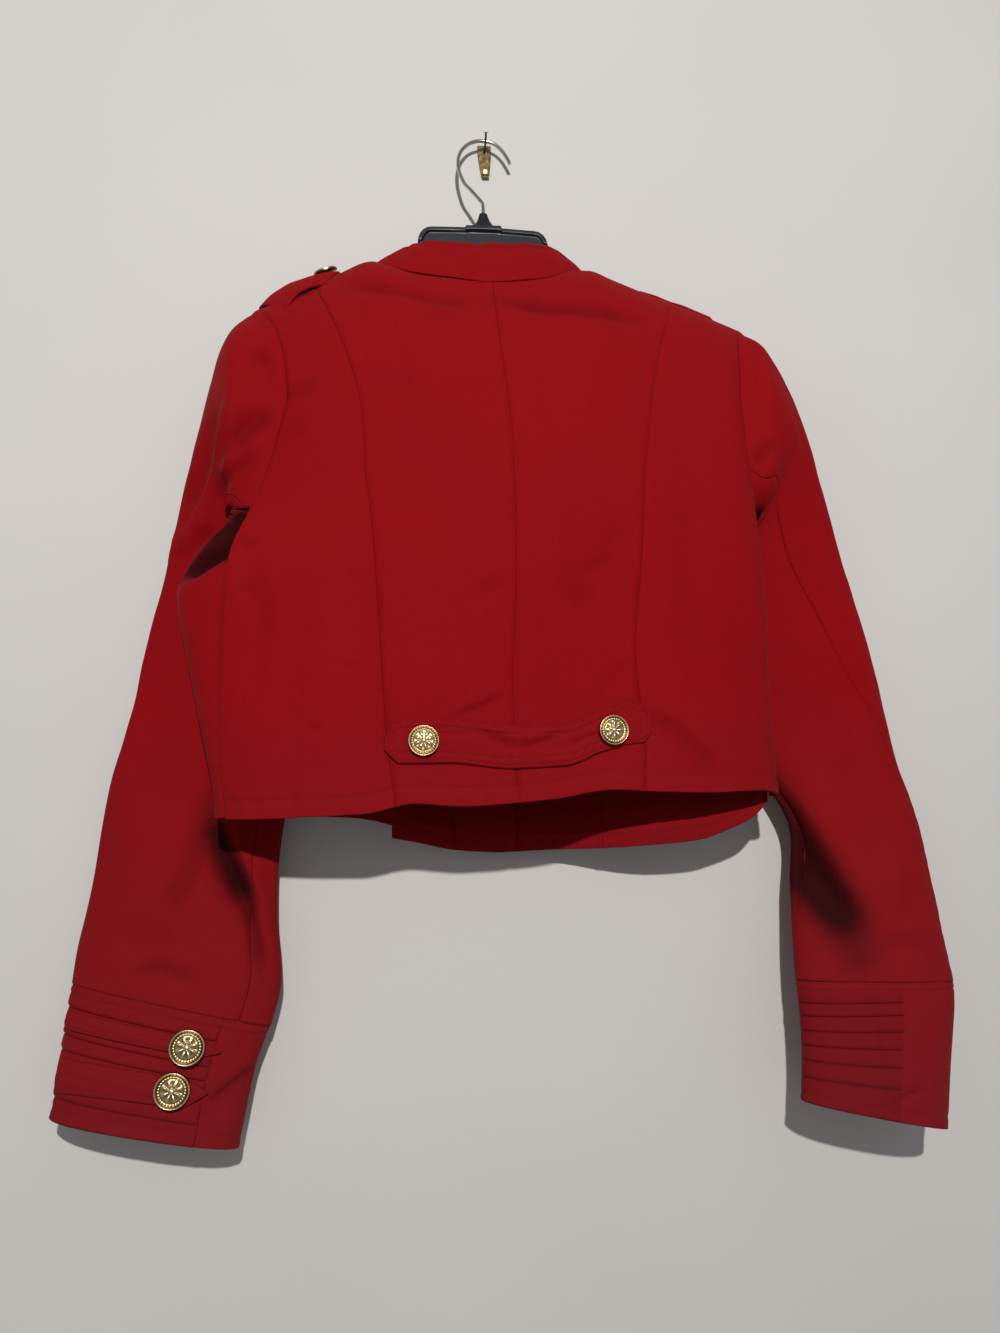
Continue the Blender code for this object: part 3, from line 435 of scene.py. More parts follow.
ARMHOLE_RIGHT = tenths(
    (-3550, 2020), (-3190, 2010), (-3050, 1990), (-2640, 1985), (-2255, 2027), (-2020, 2068), (-1735, 2130))
# Hems: x, z.
HEM_BACK = tenths(
    (-2130, -5800), (-2044, -5810), (-1685, -5825), (-1106, -5820), (-762, -5764), (-405, -5794), (188, -5766),
    (603, -5713), (991, -5735), (1377, -5747), (1800, -5736), (1960, -5768))
HEM_FRONT_LEFT = tenths(
    (-2130, -5800), (-1600, -5790), (-1200, -5810), (-940, -5870), (-764, -5970), (-488, -6040), (-50, -6075),
    (100, -6080))
HEM_FRONT_RIGHT = tenths(
    (-960, -5960), (-764, -5998), (-488, -6054), (-50, -6090), (327, -6085), (722, -6092), (1333, -6067),
    (1647, -5980), (1789, -5920), (1960, -5768))
# Shoulder and neck line: x, y, z.
TOP_BACK = tenths(
    (-1900, -320, -1665), (-1625, -320, -1560), (-1447, -320, -1465), (-1265, -325, -1345), (-980, -340, -1226),
    (-881, -450, -1313), (-656, -580, -1444), (-196, -700, -1572), (-20, -710, -1586), (421, -600, -1465),
    (694, -450, -1292), (823, -340, -1241), (986, -325, -1304), (1185, -320, -1385), (1501, -320, -1505),
    (1832, -320, -1625), (2130, -320, -1735))
TOP_FRONT = tenths(
    (-1900, -320, -1665), (-1625, -320, -1560), (-1447, -320, -1465), (-1265, -325, -1345), (-980, -340, -1226),
    (-945, -225, -1340), (-740, -165, -1620), (-450, -140, -1820), (-50, -130, -1900), (350, -140, -1800),
    (620, -165, -1600), (800, -225, -1350), (823, -340, -1241), (986, -325, -1304), (1185, -320, -1385),
    (1501, -320, -1505), (1832, -320, -1625), (2130, -320, -1735))


def ring(alpha: Array, z: Array) -> tuple[Array, Array]:
    """The body's section: an ellipse-like loop whose back and front halves have their own depths.

    x runs as the sine of the angle between the two extremes. y runs from the side's depth to the back's or
    front's as a power of the cosine, and the front half is dented at the sides, where the sleeves hang.

    Args:
        alpha: Angle, 0 at the centre back and plus or minus pi at the centre front.
        z: Height.

    Returns:
        x and y.
    """
    left, right, back, side, front = (curve(BODY, z, k) for k in range(1, 6))
    u, c = np.sin(alpha), np.cos(alpha)
    x = (left + right) / 2 + (right - left) / 2 * u
    behind = side + (back - side) * np.abs(c) ** 0.75
    low = ease(-0.300, -0.360, z)
    dent = 1 - 0.55 * low * ease(0.18, 0.62, np.abs(u))
    ahead = side + (front - side) * dent * np.abs(c) ** (0.45 + 0.55 * low)
    return x, np.where(c >= 0, behind, ahead)


def angle(x: Array, z: Array) -> Array:
    """The back angle whose ring point has this x: the arcsine of its place between the extremes."""
    left, right = curve(BODY, z, 1), curve(BODY, z, 2)
    return np.arcsin(np.clip((x - (left + right) / 2) / ((right - left) / 2), -0.999, 0.999))


AlphaLine = Callable[[Array], Array]


@dataclass
class Panel:
    """One sheet of the body, from hem to shoulder, before it is cut at its seams.

    Attributes:
        lines: For each knot, the angle of the sheet at a height.
        tops: For each knot, x on the shoulder and neck line.
        hem: Hem table of x and z.
        line: Shoulder and neck line.
        knots: Knot places along the sheet.
    """

    lines: list[AlphaLine]
    tops: list[float]
    hem: list
    line: list
    knots: list[float]

    def points(self, s: Array, v: Array) -> Array:
        """Points of the sheet. Below the armpit a row is the body's ring at its height, and its z runs from the hem
        line to the armpit. Above it the ring closes in on the shoulder line, x by t^6 and y by 1 - t^2.6.

        Args:
            s: Places across, in knot units.
            v: Rows, 0 at the hem, 1 at the armpit, 2 at the shoulder line.

        Returns:
            Points, columns by rows by 3.
        """
        tops = np.asarray(self.tops)
        ends = curve(self.line, tops, 2)[:, None]
        low = v <= 1.0
        t = np.clip(v - 1, 0, 1)
        level = np.where(low, HEM + (ARMPIT - HEM) * v, ARMPIT + (ends - ARMPIT) * t)
        alphas = np.stack([f(row) for f, row in zip(self.lines, level)])
        hat = hats(s, np.asarray(self.knots))
        a = hat @ alphas
        zr = np.where(low, HEM + (ARMPIT - HEM) * v, ARMPIT + 0.14 * t)[None] + 0 * a
        xr, yr = ring(a, zr)
        xt = (hat @ tops)[:, None]
        yt, zt = curve(self.line, xt, 1), curve(self.line, xt, 2)
        g = np.clip(1 - t**2.6, 0, 1)[None] ** (1 / (1 + ease(0.12, 0.32, np.abs(s))[:, None]))
        x = np.where(low, xr, xr * (1 - t**6) + xt * t**6)
        y = np.where(low, yr, yt + (yr - yt) * g)
        z = np.where(low, curve(self.hem, xr) * (1 - v) + ARMPIT * v, ARMPIT + (zt - ARMPIT) * t)
        return np.stack([x, y, z], axis=2)


def rows(below: int, above: int) -> Array:
    """Row places: closer together at the hem, and by a sine towards the shoulder."""
    low = np.linspace(0, 1, below + 1) ** 1.25
    high = 1 + np.sin(np.linspace(0, math.pi / 2, above + 1))[1:]
    return np.concatenate([low, high])


def pressed(grid: Array, normal: Array, near: Iterable[Crease]) -> Array:
    """Moves a grid along its normals by the creases that belong to its side.

    Args:
        grid: Points.
        normal: Unit normals.
        near: Creases of any side.

    Returns:
        The moved points.
    """
    facing = {True: ease(0.05, -0.35, normal[..., 1]), False: ease(-0.05, 0.35, normal[..., 1])}
    lift = np.zeros(grid.shape[:2])
    for fold in near:
        lift = lift + fold.height(grid[..., 0], grid[..., 2]) * facing[fold.near]
    return grid + normal * lift[..., None]


BACK_FOLDS = [
    Crease(((-2, -180), (18, -183), (51, -185), (83, -189), (117, -193)), 7.0, -3.4, 0.1, dark=0.75),
    Crease(((-123, -161), (-96, -170), (-61, -177.5), (-15, -185)), 6.0, -2.6, dark=0.7),
    Crease(((-60, -196), (-20, -200)), 6.0, -0.8),
    Crease(((-105, -245), (-85, -256), (-65, -262)), 6.0, -0.9),
    Crease(((-178, -268), (-158, -266), (-140, -259)), 6.0, -2.2, 0.3),
    Crease(((-172, -300), (-150, -296)), 8.0, -0.9),
    Crease(((-46, -519), (-28, -512), (-12, -504)), 3.0, -2.0, 0.3),
    Crease(((-46, -513), (-28, -506.5), (-13, -499)), 3.4, 1.0),
    Crease(((92, -516), (112, -529), (129, -546.6), (144, -568)), 6.0, -2.8, -0.3),
    Crease(((104, -514), (124, -529), (142, -552)), 8.0, 1.4),
    Crease(((76, -400), (62.5, -407), (50, -412)), 4.5, -1.5, 0.3),
    Crease(((101, -366), (65, -400), (29, -434)), 14.0, -1.5, dark=0.2),
    Crease(((58, -425), (40, -436)), 9.0, -1.8),
    Crease(((-8, -420), (-26, -430)), 6.0, -1.6),
    Crease(((-199, -380), (-191, -387), (-183, -386)), 2.6, -2.2),
    Crease(((-196, -421), (-186, -423.5)), 2.4, -1.4),
    Crease(((-122, -478), (-111, -481.5)), 2.6, -1.0),
    Crease(((-147, -521), (-137, -525)), 2.6, -1.1),
    Crease(((-186, -395), (-176, -440), (-184, -500)), 9.0, -1.4),
    Crease(((-160, -380), (-150, -450), (-158, -530)), 14.0, -1.0),
    Crease(((-110, -380), (-104, -450), (-112, -520)), 12.0, -0.8),
    Crease(((130, -330), (128, -420), (136, -500)), 15.0, -1.1),
    Crease(((-27, -232), (17, -231)), 0.9, -0.45),
    Crease(((-92, -512), (-96, -545)), 4.0, -0.9),
    Crease(((80, -480), (60, -500)), 5.0, -0.9)]
FRONT_FOLDS = [
    Crease(((-240, -405), (-222, -393), (-204, -381)), 7.0, -13.0, dark=1.1),
    Crease(((-216, -388), (-205, -379), (-195, -366)), 13.0, -15.0, dark=1.5),
    Crease(((-214, -380), (-203, -368), (-192, -357)), 9.0, -5.0, dark=2.0),
    Crease(((-207, -400), (-210, -470), (-208, -560)), 5.0, -2.0),
    Crease(((-150, -586), (-60, -596), (60, -600), (180, -590), (240, -566)), 30.0, -11.0, near=False, dark=0.0)]


@dataclass
class Body:
    """Back, fronts and facing of the jacket.

    Attributes:
        finish: Cloth material.
        seam: Half of the gap between two sewn pieces, in metres.
        groove: Depth of the valley along a seam.
        groove_width: Half width of that valley.
        hem_turn: Height of the turned hem.
    """

    finish: bpy.types.Material
    seam: float = 0.00004
    groove: float = 0.0010
    groove_width: float = 0.0022
    hem_turn: float = 0.0115
    back: Array = field(init=False)
    left: Array = field(init=False)
    right: Array = field(init=False)
    v: Array = field(init=False)

    def left_edge(self, z: Array) -> Array:
        """Angle of the left side seam and the back's armhole edge."""
        return angle(curve(SIDE_LEFT, z), z)

    def right_edge(self, z: Array) -> Array:
        """Angle of the right side seam and the back's armhole edge."""
        side = curve([(-0.60, 100.0), (-0.40, 100.0), (ARMPIT, 98.0), (-0.335, 86.0), (-0.319, 79.0)], z)
        arm = np.minimum(np.degrees(angle(curve(ARMHOLE_RIGHT, z), z)), 79.0)
        return np.radians(np.where(z < -0.319, side, arm))

    def front_left_edge(self, z: Array) -> Array:
        """Angle of the left front's armhole edge, which meets the side seam below the armpit."""
        start = float(np.degrees(self.left_edge(np.array([ARMPIT]))[0]))
        hole = curve([(ARMPIT, start), (-0.348, -100.0), (-0.330, -122.0), (-0.290, -133.0), (-0.240, -136.0),
                      (-0.190, -128.0), (-0.16, -112.0)], z)
        return np.where(z <= ARMPIT, self.left_edge(z), np.radians(hole))

    def front_right_edge(self, z: Array) -> Array:
        """Angle of the right front's armhole edge, which meets the side seam below the armpit."""
        hole = curve([(ARMPIT, 98.0), (-0.335, 122.0), (-0.300, 130.0), (-0.240, 128.0), (-0.200, 116.0),
                      (-0.170, 104.0)], z)
        return np.where(z <= ARMPIT, self.right_edge(z), np.radians(hole))

    def shape(self) -> None:
        """Works out the three sheets: back, left front and right front."""
        self.v = rows(86, 84)
        self.s_back = np.unique(np.concatenate([clustered(56, a, a + 0.5) for a in (-1, -0.5, 0, 0.5)]).round(6))
        back = Panel([self.left_edge, lambda z: angle(curve(PRINCESS_LEFT, z), z),
                      lambda z: angle(curve(CENTRE_BACK, z), z), lambda z: angle(curve(PRINCESS_RIGHT, z), z),
                      self.right_edge], [-0.1900, -0.1447, -0.0020, 0.1501, 0.2130], HEM_BACK, TOP_BACK,
                     [-1, -0.5, 0, 0.5, 1])
        self.back = back.points(self.s_back, self.v)
        half_turn = math.pi
        self.s_left = np.unique(np.concatenate([clustered(70, -1, -0.5), clustered(50, -0.5, 0)]).round(6))
        left = Panel([self.front_left_edge, lambda z: -half_turn - angle(-0.125 + 0 * z, z),
                      lambda z: -half_turn - angle(0.003 + 0 * z, z)], [-0.1900, -0.1447, 0.003],
                     HEM_FRONT_LEFT, TOP_FRONT, [-1, -0.5, 0])
        self.left = left.points(self.s_left, self.v)
        high = ease(1.55, 1.90, self.v)[None]
        x = self.left[..., 0]
        self.left[..., 1] -= LAYER * (ease(-0.128, -0.104, x) * (1 - high) + ease(-0.098, -0.078, x) * high)
        self.s_right = np.unique(np.concatenate([clustered(56, 0, 0.5), clustered(56, 0.5, 1)]).round(6))
        right = Panel([lambda z: half_turn - angle(-0.070 - 0.024 * ease(-0.25, -0.55, z), z),
                       lambda z: half_turn - angle(0.072 + 0 * z, z), self.front_right_edge],
                      [-0.070, 0.1300, 0.2130], HEM_FRONT_RIGHT, TOP_FRONT, [0, 0.5, 1])
        self.right = right.points(self.s_right, self.v)

    def outward(self, grid: Array, sign: float) -> Array:
        """Normals of a sheet, turned so that the middle column's point to the given side in y.

        On the shoulder ridge they point up and outwards, so that back and front meet there edge to edge.
        """
        n = grid_normals(grid)
        n *= np.sign(sign * n[n.shape[0] // 2, 20, 1])
        tip = grid[:, -1, 0]
        up = np.stack([np.where(tip < 0, -0.42, 0.38), 0 * tip, 1 + 0 * tip], axis=1)
        up /= np.linalg.norm(up, axis=1, keepdims=True)
        on = (tip < -0.097) | (tip > 0.0815)
        n[on, -1] = up[on]
        return n

    def relief(self, grid: Array, s: Array, seams: Sequence[float], seed: int) -> Array:
        """Fine height of a sheet: valleys along the seams with puckers beside them, a turned hem, and soft unevenness.

        Args:
            grid: The sheet.
            s: Its places across.
            seams: Knot places of the seams, edges included.
            seed: Seed of the unevenness.

        Returns:
            Heights in metres.
        """
        x, z = grid[..., 0], grid[..., 2]
        width = np.abs(np.gradient(grid, axis=0)).sum(axis=2) / np.maximum(np.gradient(s)[:, None], 1e-9)
        lift = np.zeros(x.shape)
        for knot in seams:
            gap = np.abs(s - knot)[:, None] * width
            pucker = 0.00022 * np.sin(math.tau * z / 0.0105 + 2.2 * np.sin(z * 61 + knot)) * bell(gap, 0.0065)
            lift += -self.groove * bell(gap, self.groove_width) + pucker
        from_hem = z - grid[:, :1, 2]
        lift += 0.0004 * ease(self.hem_turn, self.hem_turn - 0.002, from_hem)
        lift -= 0.0006 * bell(from_hem - self.hem_turn, 0.0013)
        lift += 0.00035 * np.sin(math.tau * (x / 0.017) + 3 * np.sin(x * 41)) * bell(from_hem - self.hem_turn, 0.006)
        lift += 0.0009 * ripple(x / 0.105, z / 0.150, seed) + 0.0003 * ripple(x / 0.034, z / 0.050, seed + 1)
        return lift * ease(2.0, 1.93, self.v)[None]

    def finished(self, plain: Array, s: Array, sign: float, seams: Sequence[float], seed: int
                 ) -> tuple[Array, Array]:
        """A sheet with its folds and its relief, and the new normals.

        Args:
            plain: The sheet as it was worked out.
            s: Its places across.
            sign: Side in y that its normals point to, -1 for the back.
            seams: Knot places of the seams, edges included.
            seed: Seed of the unevenness.

        Returns:
            Points and normals.
        """
        n = self.outward(plain, sign)
        grid = pressed(plain, n, BACK_FOLDS if sign < 0 else FRONT_FOLDS)
        grid = grid + n * self.relief(plain, s, seams, seed)[..., None]
        return grid, self.outward(grid, sign)

    def build(self) -> None:
        """Builds the eight body pieces and the facing."""
        self.shape()
        self.back_done, self.back_normal = self.finished(self.back, self.s_back, -1, (-1, -0.5, 0, 0.5, 1), 3)
        self.left_done, self.left_normal = self.finished(self.left, self.s_left, 1, (-1, -0.5), 11)
        self.right_done, self.right_normal = self.finished(self.right, self.s_right, 1, (0.5, 1), 17)
        back = (self.back_done, self.back_normal, self.s_back)
        left = (self.left_done, self.left_normal, self.s_left)
        right = (self.right_done, self.right_normal, self.s_right)
        for name, sheet, a, b in (
                ("back_side_left", back, -1, -0.5), ("back_centre_left", back, -0.5, 0),
                ("back_centre_right", back, 0, 0.5), ("back_side_right", back, 0.5, 1),
                ("front_side_left", left, -1, -0.5), ("front_left", left, -0.5, 0),
                ("front_side_right", right, 0.5, 1), ("front_right", right, 0, 0.5)):
            self.cut(name, *sheet, a, b)
        self.facing()

    def cut(self, name: str, grid: Array, normal: Array, s: Array, a: float, b: float) -> None:
        """Cuts one piece from a sheet between two knots, draws its sewn edges apart, and hangs it."""
        pick = (s >= a - 1e-6) & (s <= b + 1e-6)
        folds = BACK_FOLDS if name.startswith("back") else FRONT_FOLDS
        sheet = Sheet(parted(grid[pick], self.seam, top=True), normal[pick], CLOTH, folds=folds)
        sheet.hang(name, self.finish)

    def facing(self) -> None:
        """The left front's facing: a strip 1.2 mm thick inside its edge, from the hem to the neck."""
        pick = self.left_done[:, 40, 0] > -0.0462
        last = len(self.v) - 12
        n = self.left_normal[pick, :last]
        g = self.left_done[pick, :last] - n * (CLOTH + 0.0005)
        Sheet(g, n, 0.0011).hang("front_facing_left", self.finish)


# Sleeve rings after the armhole: outer edge x z, inner edge x z, outer y, inner y, half depth.
SLEEVE_LEFT = tenths(
    (-2050, -1790, -2110, -3430, -370, -500, 350), (-2175, -2038, -2120, -3450, -390, -430, 340),
    (-2290, -2480, -2078, -3500, -380, -340, 270), (-2370, -2780, -2046, -3600, -360, -270, 200),
    (-2445, -3100, -1980, -3790, -320, -210, 165), (-2525, -3500, -1810, -4080, -280, -170, 120),
    (-2620, -3950, -1640, -4420, -240, -150, 110), (-2717, -4374, -1600, -4760, -210, -150, 110),
    (-2814, -4861, -1600, -5150, -200, -160, 115), (-2939, -5436, -1680, -5600, -200, -170, 125),
    (-3018, -5935, -1740, -6110, -220, -210, 150), (-3081, -6396, -1725, -6560, -240, -240, 170),
    (-3115, -6660, -1705, -6930, -255, -260, 185), (-3133, -6870, -1780, -7230, -265, -275, 190))
CUFF_LEFT = tenths(
    (-3135, -6876, -1782, -7236, -265, -275, 192), (-3158, -7080, -1860, -7430, -270, -280, 195),
    (-3185, -7330, -1915, -7650, -275, -285, 198), (-3228, -7740, -1980, -8005, -290, -300, 200))
SLEEVE_RIGHT = tenths(
    (2237, -1812, 2110, -3460, -340, -480, 350), (2310, -1936, 2150, -3480, -360, -440, 340),
    (2430, -2220, 2160, -3520, -380, -380, 300), (2545, -2480, 2110, -3590, -380, -320, 260),
    (2643, -2796, 2000, -3700, -375, -250, 200), (2730, -3250, 1820, -3920, -365, -200, 145),
    (2815, -3720, 1660, -4230, -350, -190, 135), (2910, -4180, 1680, -4550, -335, -190, 135),
    (3010, -4736, 1730, -4960, -330, -200, 140), (3060, -5200, 1850, -5330, -340, -220, 145),
    (3085, -5520, 2000, -5600, -350, -260, 155), (3171, -5934, 2160, -5980, -380, -330, 170),
    (3202, -6434, 2100, -6420, -420, -400, 180), (3222, -6879, 2050, -6830, -460, -450, 185),
    (3240, -7170, 2038, -7100, -480, -480, 190))
CUFF_RIGHT = tenths(
    (3240, -7176, 2036, -7106, -480, -480, 192), (3205, -7360, 2030, -7330, -500, -500, 196),
    (3110, -7735, 2010, -7620, -520, -520, 198), (3013, -8162, 1960, -7915, -540, -540, 200))
# Back and front sleeve seams by sleeve fraction: degrees from the outer edge, over the back.
SEAMS_LEFT = [(0.0, 168, 244), (0.12, 156, 244), (0.28, 144, 244), (0.45, 138, 244), (1.0, 131, 240)]
SEAMS_RIGHT = [(0.0, 154, 236), (0.06, 151, 236), (0.12, 143, 236), (0.20, 122, 234), (0.30, 100, 232),
               (0.45, 82, 226), (0.60, 60, 215), (0.70, 32, 205), (1.0, 18, 200)]
# Cuff tabs: start angle, tip angle, middle row at the start and at the tip, half height in rows, button angle.
TABS = [(20.0, 126.0, 0.36, 0.33, 0.085, 104.0), (20.0, 123.0, 0.76, 0.70, 0.080, 101.0)]
SLEEVE_FOLDS = {
    Side.LEFT: [
        Crease(((-252, -374), (-234, -357), (-220, -347)), 8.0, 3.6, 0.3),
        Crease(((-205, -256), (-211, -290), (-218, -313), (-230, -340), (-246, -368)), 6.5, 5.0, 0.5),
        Crease(((-219, -262), (-226, -296), (-234, -322), (-246, -350)), 9.0, -4.0, -0.3, dark=0.25),
        Crease(((-176, -262), (-192, -270), (-208, -282)), 5.5, 3.4),
        Crease(((-174, -277), (-192, -290), (-212, -308)), 6.5, -4.6, 0.4),
        Crease(((-178, -300), (-198, -312), (-216, -326)), 5.5, 3.0),
        Crease(((-184, -318), (-200, -325), (-214, -334)), 5.0, -2.0, dark=0.2),
        Crease(((-192, -222), (-178, -237)), 6.0, -3.2),
        Crease(((-222, -572), (-213, -596), (-203, -617), (-191, -640)), 8.0, -10.0, -0.30, dark=1.25),
        Crease(((-205, -608), (-194, -635), (-187, -662), (-181, -692)), 4.2, -4.5, -0.3, dark=0.8),
        Crease(((-207, -580), (-195, -611), (-185, -637), (-178.5, -663), (-174, -692)), 6.0, 3.4),
        Crease(((-224, -586), (-233, -616), (-247, -644)), 6.5, -4.2, -0.4),
        Crease(((-268, -684), (-251, -680), (-230, -692)), 4.5, -3.2, 0.4),
        Crease(((-222, -552), (-217, -570), (-216, -580)), 4.0, -4.0, dark=0.8),
        Crease(((-262, -470), (-252, -520), (-256, -570)), 15.0, -2.6, dark=0.1),
        Crease(((-300, -560), (-292, -620), (-300, -670)), 14.0, -2.6, dark=0.1),
        Crease(((-286, -655), (-240, -664)), 10.0, -2.4, dark=0.1)],
    Side.RIGHT: [
        Crease(((193, -556), (206, -588), (218, -613), (230, -642), (240, -664), (247, -692)), 16.0, -9.0, -0.20,
               dark=1.7),
        Crease(((196, -578), (203, -612), (216, -655)), 13.0, -5.0, dark=1.1),
        Crease(((214, -570), (224, -588), (235, -610), (246, -640), (256, -660), (261, -690)), 6.5, 4.0),
        Crease(((203, -313), (210, -306), (219, -296)), 6.0, -2.6, 0.3, dark=0.6),
        Crease(((221, -464), (234, -461.5)), 3.8, -2.2),
        Crease(((212, -492), (222, -497), (232, -504)), 7.5, -1.6, dark=0.2),
        Crease(((236, -500), (250, -512), (256, -530)), 9.0, -2.0, dark=0.2),
        Crease(((262, -540), (272, -590), (280, -640)), 17.0, -2.6, dark=0.1),
        Crease(((296, -640), (290, -672)), 8.0, -2.2, dark=0.2),
        Crease(((262, -690), (282, -686), (300, -692)), 5.0, -2.2)]}
CUFF_FOLDS = {
    Side.LEFT: [Crease(((-218, -770), (-200, -758), (-184, -748)), 6.0, -3.4, -0.7),
                Crease(((-212, -744), (-226, -744), (-240, -748)), 4.0, -0.9)],
    Side.RIGHT: [Crease(((254, -795), (266, -790), (279, -787)), 2.6, -1.7, 0.4),
                 Crease(((250, -712), (256, -790)), 2.2, -0.9, -0.6)]}


def loop_points(rings: Array, theta: Array) -> Array:
    """Points of flattened sleeve rings: the cosine runs between the two edges, the sine gives the depth.

    Args:
        rings: One row of seven numbers per ring, or one row for all.
        theta: Angles, ring by ring, shaped columns by rings.

    Returns:
        Points, columns by rings by 3.
    """
    ox, oz, ix, iz, oy, iy, depth = (rings[:, k][None] for k in range(7))
    c, sn = np.cos(theta), np.sin(theta)
    cc = np.sign(c) * np.abs(c) ** 0.82
    ss = np.sign(sn) * np.abs(sn) ** 0.9
    x = (ox + ix) / 2 + cc * (ox - ix) / 2
    y = (oy + iy) / 2 + cc * (oy - iy) / 2 - ss * depth
    z = (oz + iz) / 2 + cc * (oz - iz) / 2
    return np.stack([x, y, z], axis=2)


@dataclass
class Sleeve:
    """A two-piece sleeve, from the armhole to the cuff.

    Attributes:
        side: Which sleeve.
        rings: Its table of sections.
        seams: Its table of seam angles.
        loop: The armhole, from the shoulder tip down the back and up the front.
        finish: Cloth material.
        count: Rows of the plain grid that the CAD uses; the fine grid's rows lie between them.
        fine: Rows of the fine grid.
        upper: Steps across the upper sleeve.
        under: Steps across the under sleeve.
        rounds: Rounds of smoothing in the armpit.
        seam: Half of the gap between the two pieces, in metres.
        thick: Wall in metres.
    """

    side: Side
    rings: list
    seams: list
    loop: Array
    finish: bpy.types.Material
    count: int = 15
    fine: int = 150
    upper: int = 84
    under: int = 54
    rounds: int = 140
    seam: float = 0.00015
    thick: float = 0.0011

    def grid(self) -> Array:
        """The sleeve's surface. Its first rows ease from the armhole loop to the rings.

        A row's columns start at the front seam, run over the outside to the back seam, and on round the underarm.

        Returns:
            Points, columns by rows by 3. The last column repeats the first.
        """
        q = np.unique(np.concatenate([np.linspace(0, 3, 46), np.linspace(3, self.count, self.fine - 45)]))
        back, front = curve(self.seams, q / self.count, 1), curve(self.seams, q / self.count, 2)
        over = clustered(self.upper + 1, 0, 1)[:, None]
        below = clustered(self.under + 1, 0, 1)[1:, None]
        theta = np.radians(np.concatenate([(front - 360) + (back - front + 360) * over,
                                           back + (front - back) * below]))
        rings = spline(self.rings, np.clip(q - 1, 0, None) / (self.count - 1))
        tube = loop_points(rings, theta)
        arc = lengths(self.loop[None], 1)[0]
        low = int(np.argmax(np.where(self.loop[:, 2] < -0.330, np.abs(self.loop[:, 0]), 0)))
        turn = np.mod(theta, math.tau)
        want = np.where(turn <= math.pi, turn / math.pi * arc[low],
                        arc[low] + (turn - math.pi) / math.pi * (arc[-1] - arc[low]))
        hole = np.stack([np.interp(want, arc, self.loop[:, k]) for k in range(3)], axis=2)
        hold = curve([(0, 1.0), (1, 0.50), (2, 0.25), (3, 0.10), (4, 0.03), (5, 0.0)], np.minimum(q, 5))[None, :, None]
        away = np.zeros((1, len(q), 3))
        away[0, :, 0] = math.copysign(0.007, self.loop[0, 0]) * q
        head = bell(q - 1.0, 0.9)[None] * ease(0.1, 0.9, np.cos(theta) * 0.5 + 0.5 + 0.3 * np.sin(theta))
        self.head = head * ease(0.0, 0.25, q)[None]
        self.q = q
        grid = hold * (hole + away) + (1 - hold) * tube
        deg = np.degrees(turn)
        loose = (ease(110, 150, deg) * ease(285, 240, deg) * (ease(0.0, 0.5, q) * ease(7.0, 3.5, q))[None])[..., None]
        for _ in range(self.rounds):
            ring = grid[:-1]
            beside = (np.roll(ring, 1, axis=0) + np.roll(ring, -1, axis=0)) / 2
            along = ring.copy()
            along[:, 1:-1] = (ring[:, :-2] + ring[:, 2:]) / 2
            grid[:-1] = ring + 0.5 * loose[:-1] * ((beside + along) / 2 - ring)
            grid[-1] = grid[0]
        return grid

    def relief(self, grid: Array) -> Array:
        """Fine height: valleys along both seams, the sleeve head's fullness, and soft unevenness."""
        run = lengths(grid, 0)
        whole = run[-1:]
        lift = -0.0026 * self.head
        x, z = grid[..., 0], grid[..., 2]
        for place in (np.zeros_like(whole), run[self.upper:self.upper + 1], whole):
            gap = np.abs(run - place)
            pucker = 0.00020 * np.sin(math.tau * z / 0.011 + 2 * np.sin(z * 57)) * bell(gap, 0.006)
            lift += (-0.0008 * bell(gap, 0.0020) + pucker) * ease(1.0, 3.0, self.q)[None]
        seed = 23 if self.side is Side.LEFT else 31
        around = run / whole
        lift += 0.0010 * ripple(x / 0.07 + np.sin(math.tau * around), z / 0.11, seed)
        lift += 0.00035 * ripple(x / 0.028 + np.cos(math.tau * around), z / 0.045, seed + 1)
        return lift * ease(0.0, 0.6, self.q)[None]

    def build(self) -> None:
        """Builds the upper and under sleeve."""
        plain = self.grid()
        n = tube_normals(plain)
        grid = plain + (pressed(plain, n, SLEEVE_FOLDS[self.side]) - plain) * ease(0.0, 0.9, self.q)[None, :, None]
        lift = self.relief(plain)
        grid = grid + n * lift[..., None]
        grid[-1] = grid[0]
        n = tube_normals(grid)
        for name, pick in (("upper", slice(0, self.upper + 1)), ("under", slice(self.upper, None))):
            sheet = Sheet(parted(grid[pick], self.seam), n[pick], self.thick, folds=SLEEVE_FOLDS[self.side])
            sheet.hang(f"sleeve_{self.side.value}_{name}", self.finish)


